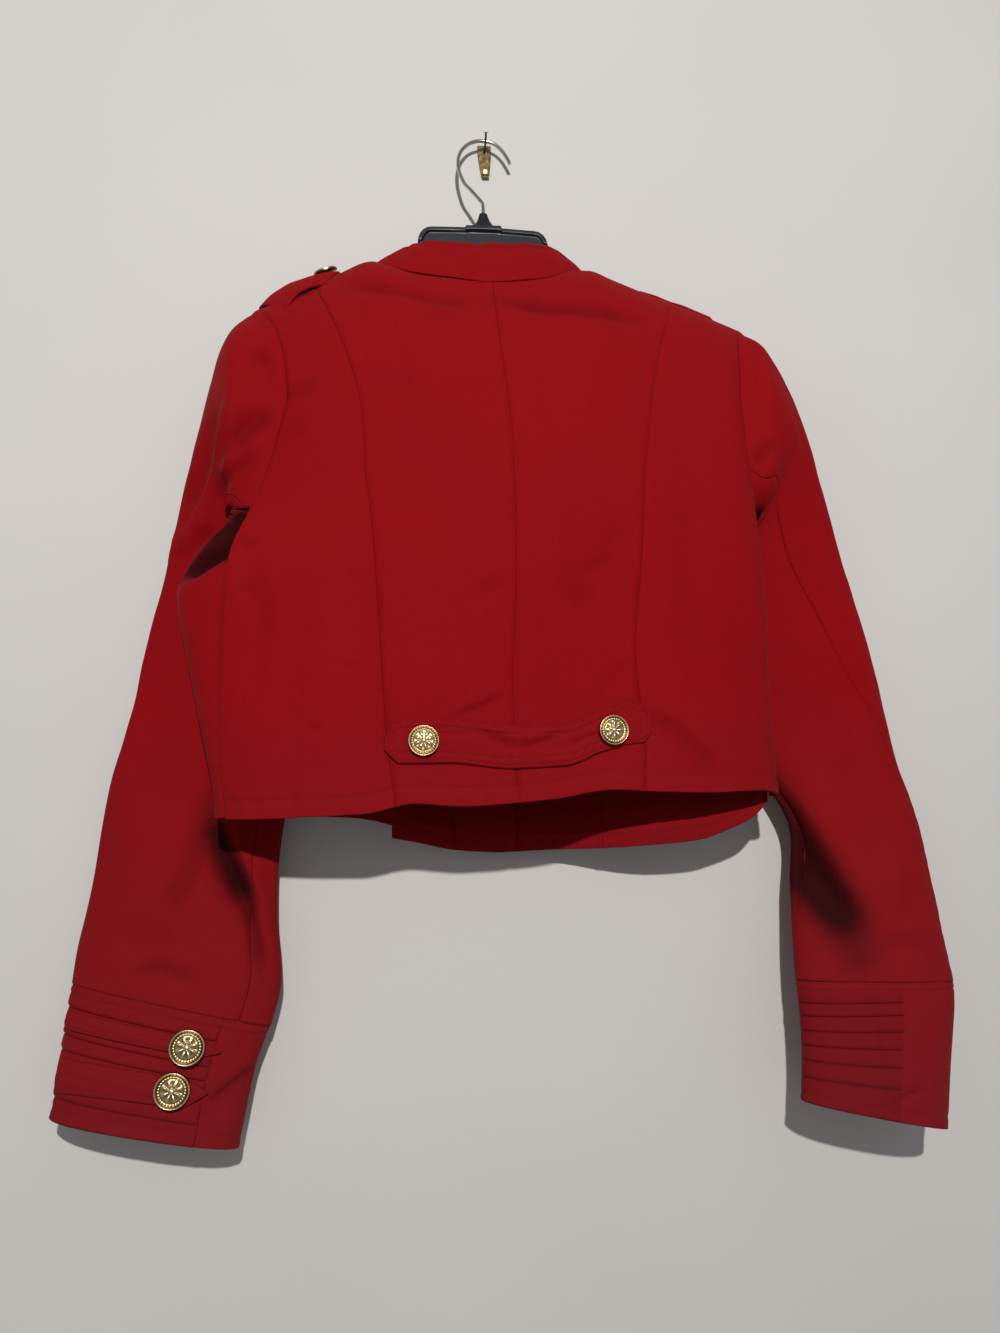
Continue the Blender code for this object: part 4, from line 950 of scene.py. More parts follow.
@dataclass
class Cuff:
    """A cuff band with rows of tucks, two buttoned tabs and a vent.

    Attributes:
        side: Which cuff.
        rings: Its table of sections.
        slit: Angle of the vent in degrees.
        tucks: Rows of the tucks, as fractions of the cuff's height.
        reach: Angles between which the tucks run, in degrees.
        finish: Cloth material.
    """

    side: Side
    rings: list
    slit: float
    tucks: list[float]
    reach: tuple[float, float]
    finish: bpy.types.Material

    @property
    def turn(self) -> int:
        """1 on the left cuff, -1 on the right one, whose tabs run the other way."""
        return 1 if self.side is Side.LEFT else -1

    def surface(self, theta: Array, v: Array) -> tuple[Array, Array]:
        """Points and outward normals of the plain band.

        Args:
            theta: Angles in radians, columns by rows.
            v: Rows from 0 at the sleeve to 1 at the hem, same shape.

        Returns:
            Points and normals.
        """
        def points(th: Array, vv: Array) -> Array:
            rows_ = spline(self.rings, np.clip(vv, 0, 1).ravel())
            flat = loop_points(rows_, th.reshape(1, -1))
            return flat.reshape(*th.shape, 3)

        e = 1e-3
        p = points(theta, v)
        up = points(theta, np.clip(v + e, 0, 1)) - points(theta, np.clip(v - e, 0, 1))
        n = unit(np.cross(points(theta + e, v) - points(theta - e, v), up))
        rows_ = spline(self.rings, np.clip(v, 0, 1).ravel())
        mid = np.stack([(rows_[:, 0] + rows_[:, 2]) / 2, (rows_[:, 4] + rows_[:, 5]) / 2,
                        (rows_[:, 1] + rows_[:, 3]) / 2], axis=1).reshape(*v.shape, 3)
        flip = np.sign(np.sum(n * (p - mid), axis=-1, keepdims=True))
        return p, n * np.where(flip == 0, 1, flip)

    def tucked(self, theta: Array) -> Array:
        """1 at the angles that have tucks, 0 elsewhere."""
        turned = np.mod(np.degrees(theta) * self.turn - self.reach[0], 360.0)
        span = self.reach[1] - self.reach[0]
        return ease(0.0, 1.5, turned) * ease(span + 1.5, span, turned)

    def relief(self, theta: Array, v: Array) -> Array:
        """Height of the band: tucks as shallow saw teeth that hang over the row below, and a turned hem.

        Args:
            theta: Angles in radians.
            v: Rows.

        Returns:
            Heights in metres.
        """
        inside = self.tucked(theta)
        lift = np.zeros(np.broadcast(theta, v).shape)
        edges = [0.0] + list(self.tucks) + [1.0]
        for lo, hi in zip(edges[:-1], edges[1:]):
            t = np.clip((v - lo) / (hi - lo), 0, 1)
            tooth = np.where((v >= lo) & (v < hi), 0.0011 * t**1.3, 0.0)
            lift += inside * tooth
        for row in self.tucks:
            lift -= inside * 0.0009 * bell((v - row) * CUFF_HEIGHT, 0.0011)
        lift -= 0.0007 * bell((v - 0.12) * CUFF_HEIGHT, 0.0012) + 0.0007 * bell((v - 0.02) * CUFF_HEIGHT, 0.0014)
        lift -= 0.0006 * bell((v - 0.915) * CUFF_HEIGHT, 0.0012)
        lift += 0.0004 * ripple(theta * 2.2, v * 1.6, 41 + self.turn) * ease(0, 0.05, v)
        return lift

    def build(self) -> None:
        """Builds the band, its tabs and buttons."""
        deg = np.linspace(self.slit, self.slit + 360, 200)
        v = np.unique(np.concatenate([np.linspace(0, 1, 64)] + [[t - 0.004, t, t + 0.012] for t in self.tucks]))
        theta, rows_ = np.meshgrid(np.radians(deg), v, indexing="ij")
        p, n = self.surface(theta, rows_)
        grid = pressed(p + n * self.relief(theta, rows_)[..., None], n, CUFF_FOLDS[self.side])
        m = grid_normals(grid)
        m *= np.sign(np.sum(m * n))
        tucked = self.tucked(theta)
        # Painted shade along each row of tucks and over the tucked part of the band, with more on the right cuff's
        # tucked part.
        extra_painted_shade = tucked * (0.04 + sum(0.15 * bell((rows_ - t) * CUFF_HEIGHT, 0.0012) for t in self.tucks))
        if self.side is Side.RIGHT:
            extra_painted_shade += 0.09 * tucked * ease(0.10, 0.16, rows_)
        sheet = Sheet(grid, m, 0.0018, folds=CUFF_FOLDS[self.side], extra_painted_shade=extra_painted_shade)
        sheet.hang(f"cuff_{self.side.value}", self.finish)
        for row in (0.02, 0.12, 0.915):
            k = int(np.argmin(np.abs(v - row)))
            Stitching.add(grid[:, k] + m[:, k] * THREAD_LIFT, m[:, k], HEM_PITCH)
        for k, name in enumerate(("upper", "lower")):
            self.tab(name, *TABS[k])

    def tab(self, name: str, a0: float, a1: float, v0: float, v1: float, half: float, ab: float) -> None:
        """A pointed tab laid on the band, with a raised middle and folded edges, and its stitch row.

        Args:
            name: upper or lower.
            a0: Start angle in degrees.
            a1: Tip angle.
            v0: Middle row at the start.
            v1: Middle row at the tip.
            half: Half height in rows.
            ab: Angle of its button.
        """
        f = clustered(90, 0, 1, 0.5)
        w = clustered(25, -1, 1, 0.7)
        shape = np.minimum(1.0, np.maximum(0.06, (1 - f) * 7.5))
        th = np.radians(a0 + (a1 - a0) * f)[:, None] * self.turn + 0 * w
        vm = (v0 + (v1 - v0) * f)[:, None] + half * shape[:, None] * w
        p, n = self.surface(th, vm)
        edge = np.minimum(1 - np.abs(w)[None] ** 6, ease(0.0, 0.02, 1 - f)[:, None])
        ridge = 0.0006 + 0.0016 * np.clip(edge, 0, 1) ** 0.5
        ridge = ridge - 0.0004 * bell((np.abs(w)[None] - 0.70) * half * CUFF_HEIGHT, 0.0010)
        ridge = ridge + 0.0003 * ripple(f[:, None] * 4 + 0 * w, w[None] + 0 * f[:, None], 5)
        top = p + n * (ridge + 0.0006)[..., None]
        m = grid_normals(top)
        m *= np.sign(np.sum(m * n))
        low = p + n * 0.0004
        gap = np.linalg.norm(top - low, axis=2, keepdims=True)
        Sheet(top, (top - low) / gap, gap).hang(f"cuff_tab_{self.side.value}_{name}", self.finish)
        path = [(0.03, -0.72), (0.30, -0.72), (0.60, -0.72), (0.84, -0.72), (0.955, 0.0), (0.84, 0.72), (0.60, 0.72),
                (0.30, 0.72), (0.03, 0.72)]
        pf = np.array([q[0] for q in path])
        pw = np.array([q[1] for q in path])
        fine = np.linspace(0, len(path) - 1, 160)
        ff, ww = np.interp(fine, range(len(path)), pf), np.interp(fine, range(len(path)), pw)
        sh = np.minimum(1.0, np.maximum(0.06, (1 - ff) * 7.5))
        q, m = self.surface((np.radians(a0 + (a1 - a0) * ff) * self.turn)[:, None],
                            ((v0 + (v1 - v0) * ff) + half * sh * ww)[:, None])
        Stitching.add(q[:, 0] + m[:, 0] * 0.0024, m[:, 0])
        fb = (ab - a0) / (a1 - a0)
        q, m = self.surface(np.array([[math.radians(ab) * self.turn]]), np.array([[v0 + (v1 - v0) * fb]]))
        Button(f"cuff_button_{self.side.value}_{name}", q[0, 0] + m[0, 0] * 0.0032, m[0, 0], 0.0120).build()


class Stitching:
    """All the thread of the jacket: rows of short stitches, made as one mesh at the end."""

    rows: list[tuple[Array, Array, float, float]] = []

    @classmethod
    def add(cls, path: Array, normal: Array, pitch: float = PITCH, thick: float = 0.00030) -> None:
        """Adds a row of stitches.

        Args:
            path: Points along the row, on the cloth.
            normal: Outward normal at each point.
            pitch: Distance from one stitch to the next, in metres.
            thick: Radius of the thread.
        """
        cls.rows.append((np.asarray(path, float), np.asarray(normal, float), pitch, thick))

    @classmethod
    def build(cls, finish: bpy.types.Material) -> None:
        """Lays a spindle of thread at every stitch: two rings of five points and two tips, along the row."""
        verts, faces, start = [], [], 0
        k = np.arange(5) * math.tau / 5
        disc = np.stack([0 * k, np.cos(k), np.sin(k)], axis=1)
        template = np.concatenate([[[-0.5, 0, 0]], disc * [0, 1, 1] + [-0.30, 0, 0], disc * [0, 1, 1] + [0.30, 0, 0],
                                   [[0.5, 0, 0]]])
        tri = []
        for i in range(5):
            j = (i + 1) % 5
            tri += [(0, 1 + i, 1 + j), (1 + i, 6 + i, 6 + j), (1 + i, 6 + j, 1 + j), (6 + i, 11, 6 + j)]
        tri = np.array(tri)
        for path, normal, pitch, thick in cls.rows:
            run = lengths(path[None], 1)[0]
            count = max(int(run[-1] / pitch), 1)
            at = (np.arange(count) + 0.5) * run[-1] / count
            centre = np.stack([np.interp(at, run, path[:, c]) for c in range(3)], axis=1)
            ahead = np.stack([np.interp(at + 0.0004, run, path[:, c]) - np.interp(at - 0.0004, run, path[:, c])
                              for c in range(3)], axis=1)
            t = unit(ahead)
            n = np.stack([np.interp(at, run, normal[:, c]) for c in range(3)], axis=1)
            n -= t * np.sum(n * t, axis=1, keepdims=True)
            n = unit(n)
            b = np.cross(t, n)
            long = pitch * 0.80
            pts = (centre[:, None] + template[None, :, 0:1] * long * t[:, None]
                   + template[None, :, 1:2] * thick * 0.8 * n[:, None] + template[None, :, 2:3] * thick * b[:, None])
            verts.append(pts.reshape(-1, 3))
            faces.append((tri[None] + (np.arange(count) * 12)[:, None, None]).reshape(-1, 3) + start)
            start += count * 12
        obj = mesh_object("stitching", np.concatenate(verts) + SHIFT, np.concatenate(faces))
        face_out(obj)
        dress(obj, finish)


def face_out(obj: bpy.types.Object) -> None:
    """Turns every face of a closed mesh outwards where its signed volume is below zero."""
    data = obj.data
    data.calc_loop_triangles()
    co = np.zeros(len(data.vertices) * 3)
    data.vertices.foreach_get("co", co)
    co = co.reshape(-1, 3)
    idx = np.zeros(len(data.loop_triangles) * 3, int)
    data.loop_triangles.foreach_get("vertices", idx)
    p = co[idx.reshape(-1, 3)] - co.mean(axis=0)
    if np.sum(p[:, 0] * np.cross(p[:, 1], p[:, 2])) < 0:
        data.flip_normals()


@dataclass
class Button:
    """A domed metal button with a bead rim, a ring of small pearls and a plain rosette of petals.

    Attributes:
        node: The CAD node that it stands for.
        base: Middle of its back, on the cloth.
        normal: The direction that it faces.
        radius: Its radius in metres.
        height: Its height in metres.
        spin: Turn of the rosette in radians.
    """

    node: str
    base: Array
    normal: Array
    radius: float
    height: float = 0.0045
    spin: float = 0.3

    def relief(self, r: Array, phi: Array) -> Array:
        """Height over the radius r (0 to 1) and angle: a low dome, petals as bells round a boss, pearls and a rim."""
        dome = 0.56 + 0.22 * np.sqrt(np.clip(1 - (r / 0.84) ** 2, 0, 1))
        petal = bell(r - 0.40, 0.17) * np.clip(np.cos(8 * (phi + self.spin)), -0.2, 1) * 0.20
        off_petal = np.mod(phi + self.spin + math.pi / 8, math.pi / 4) - math.pi / 8
        vein = -0.06 * bell(off_petal, 0.05) * bell(r - 0.42, 0.16)
        boss = 0.20 * np.sqrt(np.clip(1 - (r / 0.15) ** 2, 0, 1))
        pearls = 0.15 * bell(r - 0.745, 0.045) * np.clip(np.cos(30 * phi), 0, 1) ** 0.7
        groove = -0.12 * bell(r - 0.83, 0.035) - 0.07 * bell(r - 0.655, 0.022)
        rim = 0.22 * bell(r - 0.93, 0.055)
        face = dome + petal + vein + boss + pearls
        return np.where(r < 0.84, face, 0.56) * ease(1.005, 0.955, r) + 0.30 * ease(0.955, 1.005, r) + groove + rim

    def build(self) -> None:
        """Builds the button and hides its CAD node."""
        phi = np.linspace(0, math.tau, 120, endpoint=False)
        r = np.concatenate([np.linspace(0.03, 0.90, 34), np.linspace(0.912, 1.0, 10)])
        rr, pp = np.meshgrid(r, phi, indexing="ij")
        h = self.relief(rr, pp)
        back = [(1.0, 0.24), (0.92, 0.12), (0.80, 0.06), (0.42, 0.0), (0.05, 0.0)]
        rr = np.concatenate([rr, np.array([[b[0]] * 120 for b in back])])
        hh = np.concatenate([h, np.array([[b[1]] * 120 for b in back])])
        pp = np.concatenate([pp, np.repeat(phi[None], len(back), axis=0)])
        n = self.normal / np.linalg.norm(self.normal)
        side = np.cross(n, [0.0, 0.0, 1.0])
        side /= np.linalg.norm(side)
        up = np.cross(side, n)
        flat = (np.cos(pp)[..., None] * side + np.sin(pp)[..., None] * up) * rr[..., None] * self.radius
        pts = (self.base + flat + hh[..., None] * self.height * n).reshape(-1, 3)
        top = self.base + n * self.height * float(self.relief(np.array(0.0), np.array(0.0)))
        verts = np.concatenate([pts, [top, self.base]]) + SHIFT
        m, c = rr.shape
        i, j = np.meshgrid(np.arange(m - 1), np.arange(c), indexing="ij")
        a, b = (i * c + j).ravel(), (i * c + (j + 1) % c).ravel()
        quads = np.stack([a, b, b + c, a + c], 1).tolist()
        k = np.arange(c)
        quads += np.stack([k, (k + 1) % c, 0 * k + m * c], 1)[:, ::-1].tolist()
        last = (m - 1) * c
        quads += np.stack([last + k, last + (k + 1) % c, 0 * k + m * c + 1], 1).tolist()
        obj = mesh_object(self.node + "_metal", verts, quads)
        face_out(obj)
        worn = np.ones(len(verts))
        smooth_h = 0.56 + 0.22 * np.sqrt(np.clip(1 - (rr / 0.84) ** 2, 0, 1))
        worn[:m * c] = np.clip(0.42 + 5.5 * (hh - smooth_h), 0, 1).ravel()
        layer = obj.data.attributes.new("worn", "FLOAT", "POINT")
        layer.data.foreach_set("value", worn.astype(np.float32))
        dress(obj, Finishes.gilt())
        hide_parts(self.node)


# Stand collar, from the right front edge round the back to the left front edge: seam point, top point.
COLLAR = np.array(tenths(
    (-600, -152, -1721, -480, -180, -1400), (-400, -138, -1834, -300, -160, -1500),
    (-50, -130, -1900, -50, -150, -1560), (350, -140, -1800, 250, -160, -1480), (620, -165, -1600, 440, -190, -1300),
    (800, -225, -1350, 545, -255, -1120), (823, -340, -1241, 560, -360, -1030), (694, -450, -1292, 500, -450, -1045),
    (421, -600, -1465, 330, -550, -1110), (-20, -710, -1586, -40, -620, -1170),
    (-196, -700, -1572, -180, -610, -1165), (-656, -580, -1444, -480, -530, -1100),
    (-881, -450, -1313, -610, -440, -1055), (-980, -340, -1226, -655, -360, -1040),
    (-945, -225, -1340, -640, -262, -1130), (-740, -196, -1620, -520, -228, -1300),
    (-450, -172, -1820, -340, -195, -1490), (30, -165, -1892, 20, -185, -1560)))


@dataclass
class Collar:
    """The stand collar: a band between the neck seam and its top line, stitched along the top.

    Attributes:
        finish: Cloth material.
        thick: Wall in metres.
        stitch: Distance of the stitch row below the top edge.
    """

    finish: bpy.types.Material
    thick: float = 0.0022
    stitch: float = 0.0042

    def build(self) -> None:
        """Builds the band as rows between two splines, with a slight belly, edge ripples and a stitch groove."""
        u = np.linspace(0, 1, 260)
        w = clustered(26, 0, 1, 0.5)
        seam = spline(COLLAR[:, :3], u) + [0, 0, 0.0008]
        top = spline(COLLAR[:, 3:], u)
        grid = seam[:, None] + (top - seam)[:, None] * w[None, :, None]
        centre = grid.mean(axis=(0, 1))
        n = grid_normals(grid)
        n *= np.sign(np.sum(n * (grid - centre)))
        tall = np.linalg.norm(top - seam, axis=1)[:, None]
        below = (1 - w)[None] * tall
        x = grid[..., 0]
        lift = 0.0014 * np.sin(math.pi * w)[None] + 0 * x
        lift += 0.0007 * ripple(x / 0.032, w[None] * 1.3 + 0 * x, 61)
        lift -= 0.0006 * bell(below - self.stitch, 0.0011)
        lift += 0.0013 * ease(-0.010, -0.045, x) * bell(w[None], 0.30) * (grid[..., 1] < -0.04)
        lift += 0.00035 * np.sin(math.tau * x / 0.013 + 2 * np.sin(x * 90)) * bell(below - 0.002, 0.006)
        grid = grid + n * lift[..., None]
        grid[..., 2] += (0.0005 * np.sin(math.tau * x / 0.026 + 1.0)) * w[None] ** 3
        n = grid_normals(grid)
        n *= np.sign(np.sum(n * (grid - centre)))
        sheet = Sheet(grid, n, self.thick)
        sheet.hang("collar_stand", self.finish)
        place = np.array([np.interp(-self.stitch, -b, np.arange(len(w))) for b in below])
        row = np.stack([[np.interp(p, np.arange(len(w)), g[:, c]) for c in range(3)] for p, g in zip(place, grid)])
        Stitching.add(row + n[:, -6] * THREAD_LIFT, n[:, -6], 0.0026)


# Belt outline: x, top z, bottom z.
BELT = tenths(
    (-950, -5300, -5395), (-862, -5183, -5490), (-500, -5185, -5500), (-72, -5243, -5552), (300, -5240, -5540),
    (560, -5150, -5450), (782, -5079, -5400), (870, -5110, -5392), (935, -5200, -5300))
BELT_BUTTONS = [("left", -0.0680, -0.5343), ("right", 0.0641, -0.5302)]
BELT_FOLDS = [
    Crease(((-30, -529), (-16, -536.5), (-3.7, -542)), 2.4, -1.7, 0.4),
    Crease(((-3.7, -542), (12, -538.5), (30, -532)), 2.4, -1.5, 0.4),
    Crease(((-22, -527), (2, -533), (24, -529)), 3.6, 1.3),
    Crease(((-90, -528), (-57, -529), (-26, -530)), 1.6, -0.7),
    Crease(((30, -541), (48, -534), (62, -531)), 2.2, -0.9)]


@dataclass
class Belt:
    """The back half belt with chamfered ends, a double row of topstitching and a buckled middle.

    Attributes:
        finish: Cloth material.
        thick: Its cloth in metres.
        stitched: Depths of its two stitch rows inside the outline.
    """

    finish: bpy.types.Material
    thick: float = 0.0024
    stitched: tuple[float, ...] = (0.0022, 0.0072)

    def surface(self, x: Array, z: Array) -> tuple[Array, Array]:
        """The plain back under the belt, and its outward normal."""
        def y(xx: Array, zz: Array) -> Array:
            return ring(angle(xx, zz), zz)[1]

        e = 0.002
        p = np.stack([x, y(x, z), z], axis=-1)
        slope_x, slope_z = (y(x + e, z) - y(x - e, z)) / (2 * e), (y(x, z + e) - y(x, z - e)) / (2 * e)
        n = np.stack([slope_x, -1 + 0 * x, slope_z], axis=-1)
        return p, n / np.linalg.norm(n, axis=-1, keepdims=True)

    def build(self) -> None:
        """Builds the belt from its outline: across it, x runs along and z between the two edges."""
        table = np.asarray(BELT)
        x = clustered(210, table[0, 0], table[-1, 0], 0.35)
        topz, lowz = np.interp(x, table[:, 0], table[:, 1]), np.interp(x, table[:, 0], table[:, 2])
        mid = (x > -0.084) & (x < 0.080)
        topz[mid], lowz[mid] = curve(table, x[mid], 1), curve(table, x[mid], 2)
        w = clustered(44, 0, 1, 0.5)
        xx = x[:, None] + 0 * w
        zz = lowz[:, None] + (topz - lowz)[:, None] * w
        p, n = self.surface(xx, zz)
        tall = (topz - lowz)[:, None]
        end = np.minimum(x - x[0], x[-1] - x)[:, None]
        inset = np.minimum(np.minimum(w[None] * tall, (1 - w)[None] * tall), end)
        puff = 0.0006 + self.thick * np.clip(inset / 0.0012, 0.05, 1) ** 0.5
        for depth in self.stitched:
            puff -= 0.0006 * bell(inset - depth, 0.0009)
        puff += 0.0004 * ripple(xx / 0.03, zz / 0.02, 71)
        puff += 0.0003 * np.sin(math.tau * xx / 0.009 + 2 * np.sin(xx * 130)) * bell(inset - 0.0045, 0.004)
        for fold in BELT_FOLDS:
            puff += fold.height(xx, zz)
        top = p + n * puff[..., None]
        low = p + n * 0.0004
        gap = np.linalg.norm(top - low, axis=2, keepdims=True)
        sheet = Sheet(top, (top - low) / gap, gap, folds=BELT_FOLDS)
        sheet.hang("back_belt", self.finish)
        for depth in self.stitched:
            self.row(x, topz, lowz, depth)
        for name, bx, bz in BELT_BUTTONS:
            q, m = self.surface(np.array([bx]), np.array([bz]))
            spin = 0.3 if name == "left" else 0.75
            Button(f"belt_button_{name}", q[0] + m[0] * 0.0034, m[0], 0.0108, spin=spin).build()

    def row(self, x: Array, topz: Array, lowz: Array, depth: float) -> None:
        """One closed stitch row at a depth inside the outline."""
        keep = (x > x[0] + depth) & (x < x[-1] - depth) & (topz - lowz > 2.3 * depth)
        a = np.stack([x[keep], topz[keep] - depth * 1.02], 1)
        b = np.stack([x[keep], lowz[keep] + depth * 1.02], 1)[::-1]
        line = np.concatenate([a, b, a[:1]])
        p, n = self.surface(line[:, 0], line[:, 1])
        rise = 0.0006 + self.thick - 0.0005 + sum((f.height(line[:, 0], line[:, 1]) for f in BELT_FOLDS),
                                                  np.zeros(len(line)))
        Stitching.add(p + n * rise[:, None], n, 0.0028)


# Epaulettes: inner tip, outer sewn end (x along the shoulder), rise of the middle above the cloth, way over the ridge
# towards the wall. EPAULETTE_DROP has the section's drop on the back side, by the share of the half width.
EPAULETTES = {Side.LEFT: (-0.1250, -0.1895, 0.0120, 0.0), Side.RIGHT: (0.1130, 0.2060, 0.0012, 0.0120)}
EPAULETTE_DROP = [(-1.12, 0.0213), (-1.0, 0.0190), (-0.6, 0.0072), (-0.25, 0.0012), (0.0, 0.0)]
# The front's slope below the shoulder line: way along the cloth, way towards the wall, way down.
FRONT_SLOPE = tenths(
    (0, 0, 0), (30, 28, 14), (60, 46, 38), (120, 64, 96), (180, 75, 154), (300, 95, 268))


@dataclass
class Epaulette:
    """A shoulder strap over the ridge, sewn at the armhole and buttoned at its inner tip.

    Attributes:
        side: Which shoulder.
        finish: Cloth material.
        half: Half width in metres.
        thick: Its cloth in metres.
    """

    side: Side
    finish: bpy.types.Material
    half: float = 0.0185
    thick: float = 0.0024

    def build(self) -> None:
        """Builds the strap: along the shoulder line, with a section that drops to both sides of the ridge."""
        inner, outer, rise, ahead = EPAULETTES[self.side]
        f = clustered(90, 0, 1, 0.5)
        held_up = 0.30 * ease(0.5, 0.85, f) * (0.45 + 0.55 * ease(1.0, 0.86, f))
        lift = 0.0007 + rise * (np.sin(math.pi * np.clip(f, 0, 1)) ** 0.8 + held_up)
        half = self.half * np.minimum(1.0, 0.45 + 3.0 * f) * (1 + 0.12 * f)
        w = clustered(36, -1, 0.80, 0.5)
        slant = 0.018 * ease(0.15, 1.0, f)[:, None] * ease(0.1, -1.0, w)[None]
        x = inner + (outer - inner) * f[:, None] + math.copysign(1.0, -outer) * slant
        y, z = curve(TOP_BACK, x, 1), curve(TOP_BACK, x, 2)
        sewn = ease(0.62, 0.95, f)[:, None] * ease(0.2, -1.0, w)[None] * rise
        past = ahead + half[:, None] * w
        drop = curve(EPAULETTE_DROP, np.minimum(past / self.half, 0)) + curve(FRONT_SLOPE, past.clip(0), 2)
        low = np.stack([x, y + np.minimum(past, 0) + curve(FRONT_SLOPE, past.clip(0)) - 0.30 * sewn,
                        z + lift[:, None] - drop - 0.55 * sewn], axis=2)
        n = grid_normals(low)
        n *= np.sign(n[45, 16, 2])
        across = lengths(low, 1)
        inset = np.minimum(np.minimum(across, across[:, -1:] - across), np.abs(x - inner))
        puff = self.thick * np.clip(inset / 0.0013, 0.06, 1) ** 0.5 - 0.0005 * bell(inset - 0.0045, 0.0011)
        puff += 0.0004 * ripple(low[..., 0] / 0.03, low[..., 1] / 0.02, 81)
        Sheet(low + n * puff[..., None], n, puff[..., None]).hang(
            f"epaulette_{self.side.value}", self.finish)
        for target in (-0.72, 0.55):
            k = int(np.argmin(np.abs(w - target)))
            Stitching.add(low[4:, k] + n[4:, k] * self.thick * 0.92, n[4:, k])
        xb = inner + (outer - inner) * 0.17
        yb, zb = float(curve(TOP_BACK, xb, 1)), float(curve(TOP_BACK, xb, 2))
        r = 0.0007 + rise * math.sin(math.pi * 0.17) ** 0.8
        facing = (0.15, 0.90, 0.35) if self.side is Side.RIGHT else (-0.30, -0.42, 0.90)
        yb += float(curve(FRONT_SLOPE, ahead))
        zb -= float(curve(FRONT_SLOPE, ahead, 2))
        out = np.array(facing) / np.linalg.norm(facing)
        Button(f"epaulette_button_{self.side.value}", np.array([xb, yb, zb + r]) + out * (self.thick + 0.0006), out,
               0.0100).build()


# Hanger outline: x, top z, bottom z.
HANGER = tenths(
    (-1840, -1710, -1820), (-1700, -1653, -1763), (-1500, -1556, -1666), (-1300, -1435, -1545),
    (-1130, -1352, -1462), (-1000, -1298, -1408), (-690, -1285, -1440), (-612, -1180, -1350), (-604, -1020, -1260),
    (-598, -975, -1240), (-580, -930, -1220), (-555, -896, -1200), (-520, -872, -1180), (-480, -865, -1170),
    (-198, -860, -1130), (-186, -846, -1130), (108, -839, -1130), (120, -859, -1130), (400, -873, -1170),
    (440, -883, -1190), (475, -910, -1210), (497, -950, -1240), (508, -1000, -1260), (512, -1180, -1350),
    (610, -1290, -1440), (860, -1317, -1427), (1000, -1374, -1484), (1200, -1455, -1565), (1450, -1549, -1659),
    (1700, -1641, -1751), (1930, -1725, -1835))


@dataclass
class Hanger:
    """The moulded hanger: a bar with a raised rim round a recessed face, and a neck that holds the wire.

    Attributes:
        front: y of its face towards the camera.
        back: y of its face towards the wall.
        rim: Width of the rim.
        recess: Depth of the panel inside the rim.
    """

    front: float = -0.0405
    back: float = -0.0325
    rim: float = 0.0036
    recess: float = 0.0021

    def build(self) -> None:
        """Builds the bar as two height fields over its outline, and the neck as a lathed cone."""
        x = np.unique(np.concatenate([np.linspace(-0.184, 0.193, 130), np.linspace(-0.062, -0.040, 44),
                                      np.linspace(0.034, 0.053, 44), np.linspace(-0.0200, -0.0184, 8),
                                      np.linspace(0.0106, 0.0122, 8)]))
        tab = np.asarray(HANGER)
        top, low = np.interp(x, tab[:, 0], tab[:, 1]), np.interp(x, tab[:, 0], tab[:, 2])
        w = clustered(48, 0, 1, 0.75)
        z = low[:, None] + (top - low)[:, None] * w
        xx = x[:, None] + 0 * w
        outline = np.stack([x, top], axis=1)
        near = np.hypot(xx[..., None] - outline[::3, 0], z[..., None] - outline[::3, 1]).min(axis=2)
        inset = np.minimum(np.minimum(near, (top[:, None] - z)), z - low[:, None])
        inset = np.minimum(inset, np.minimum(xx - x[0], x[-1] - xx))
        edge = 0.0011 * (1 - np.sqrt(np.clip(1 - (1 - np.clip(inset / 0.0011, 0, 1)) ** 2, 0, 1)))
        middle = ease(-0.0640, -0.0600, xx) * ease(0.0550, 0.0510, xx)
        raised = ease(-0.0198, -0.0186, xx) * ease(0.0120, 0.0108, xx) * ease(-0.0900, -0.0880, z)
        panel = self.recess * ease(self.rim, self.rim + 0.0008, inset) * middle * (1 - raised)
        face = np.stack([xx, self.front + edge + panel - 0.0008 * raised, z], axis=2)
        rear = np.stack([xx, self.back - edge - panel * 0.8, z], axis=2)
        gap = np.linalg.norm(face - rear, axis=2, keepdims=True)
        bar = Sheet(face, (face - rear) / gap, gap).mesh("hanger_bar", Finishes.plastic())
        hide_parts("hanger_body")
        radius = [(-0.0860, 0.0098), (-0.0828, 0.0093), (-0.0800, 0.0074), (-0.0760, 0.0052), (-0.0715, 0.0037),
                  (-0.0697, 0.0031), (-0.0690, 0.0017)]
        tube("hanger_neck", lathe(np.array([-0.0032, -0.0360]), radius, 0.40), Slot.HANGER, Finishes.plastic(),
             "hanger_body")


def tube(name: str, rings: Array, slot: Slot, finish: bpy.types.Material, part: str) -> None:
    """A closed form from rings of points: quads from ring to ring, and a flat face at each end.

    Args:
        name: Piece name.
        rings: Points, rings by points round them by 3.
        slot: The record's slot; not used.
        finish: Material.
        part: The CAD node that it stands for.
    """
    count, sides = rings.shape[:2]
    i, j = np.meshgrid(np.arange(count - 1), np.arange(sides), indexing="ij")
    a, b = (i * sides + j).ravel(), (i * sides + (j + 1) % sides).ravel()
    quads = np.stack([a, b, b + sides, a + sides], 1).tolist()
    quads.append(list(range(sides))[::-1])
    quads.append(list(range((count - 1) * sides, count * sides)))
    obj = mesh_object(name, rings.reshape(-1, 3) + SHIFT, quads)
    face_out(obj)
    dress(obj, finish)
    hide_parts(part)


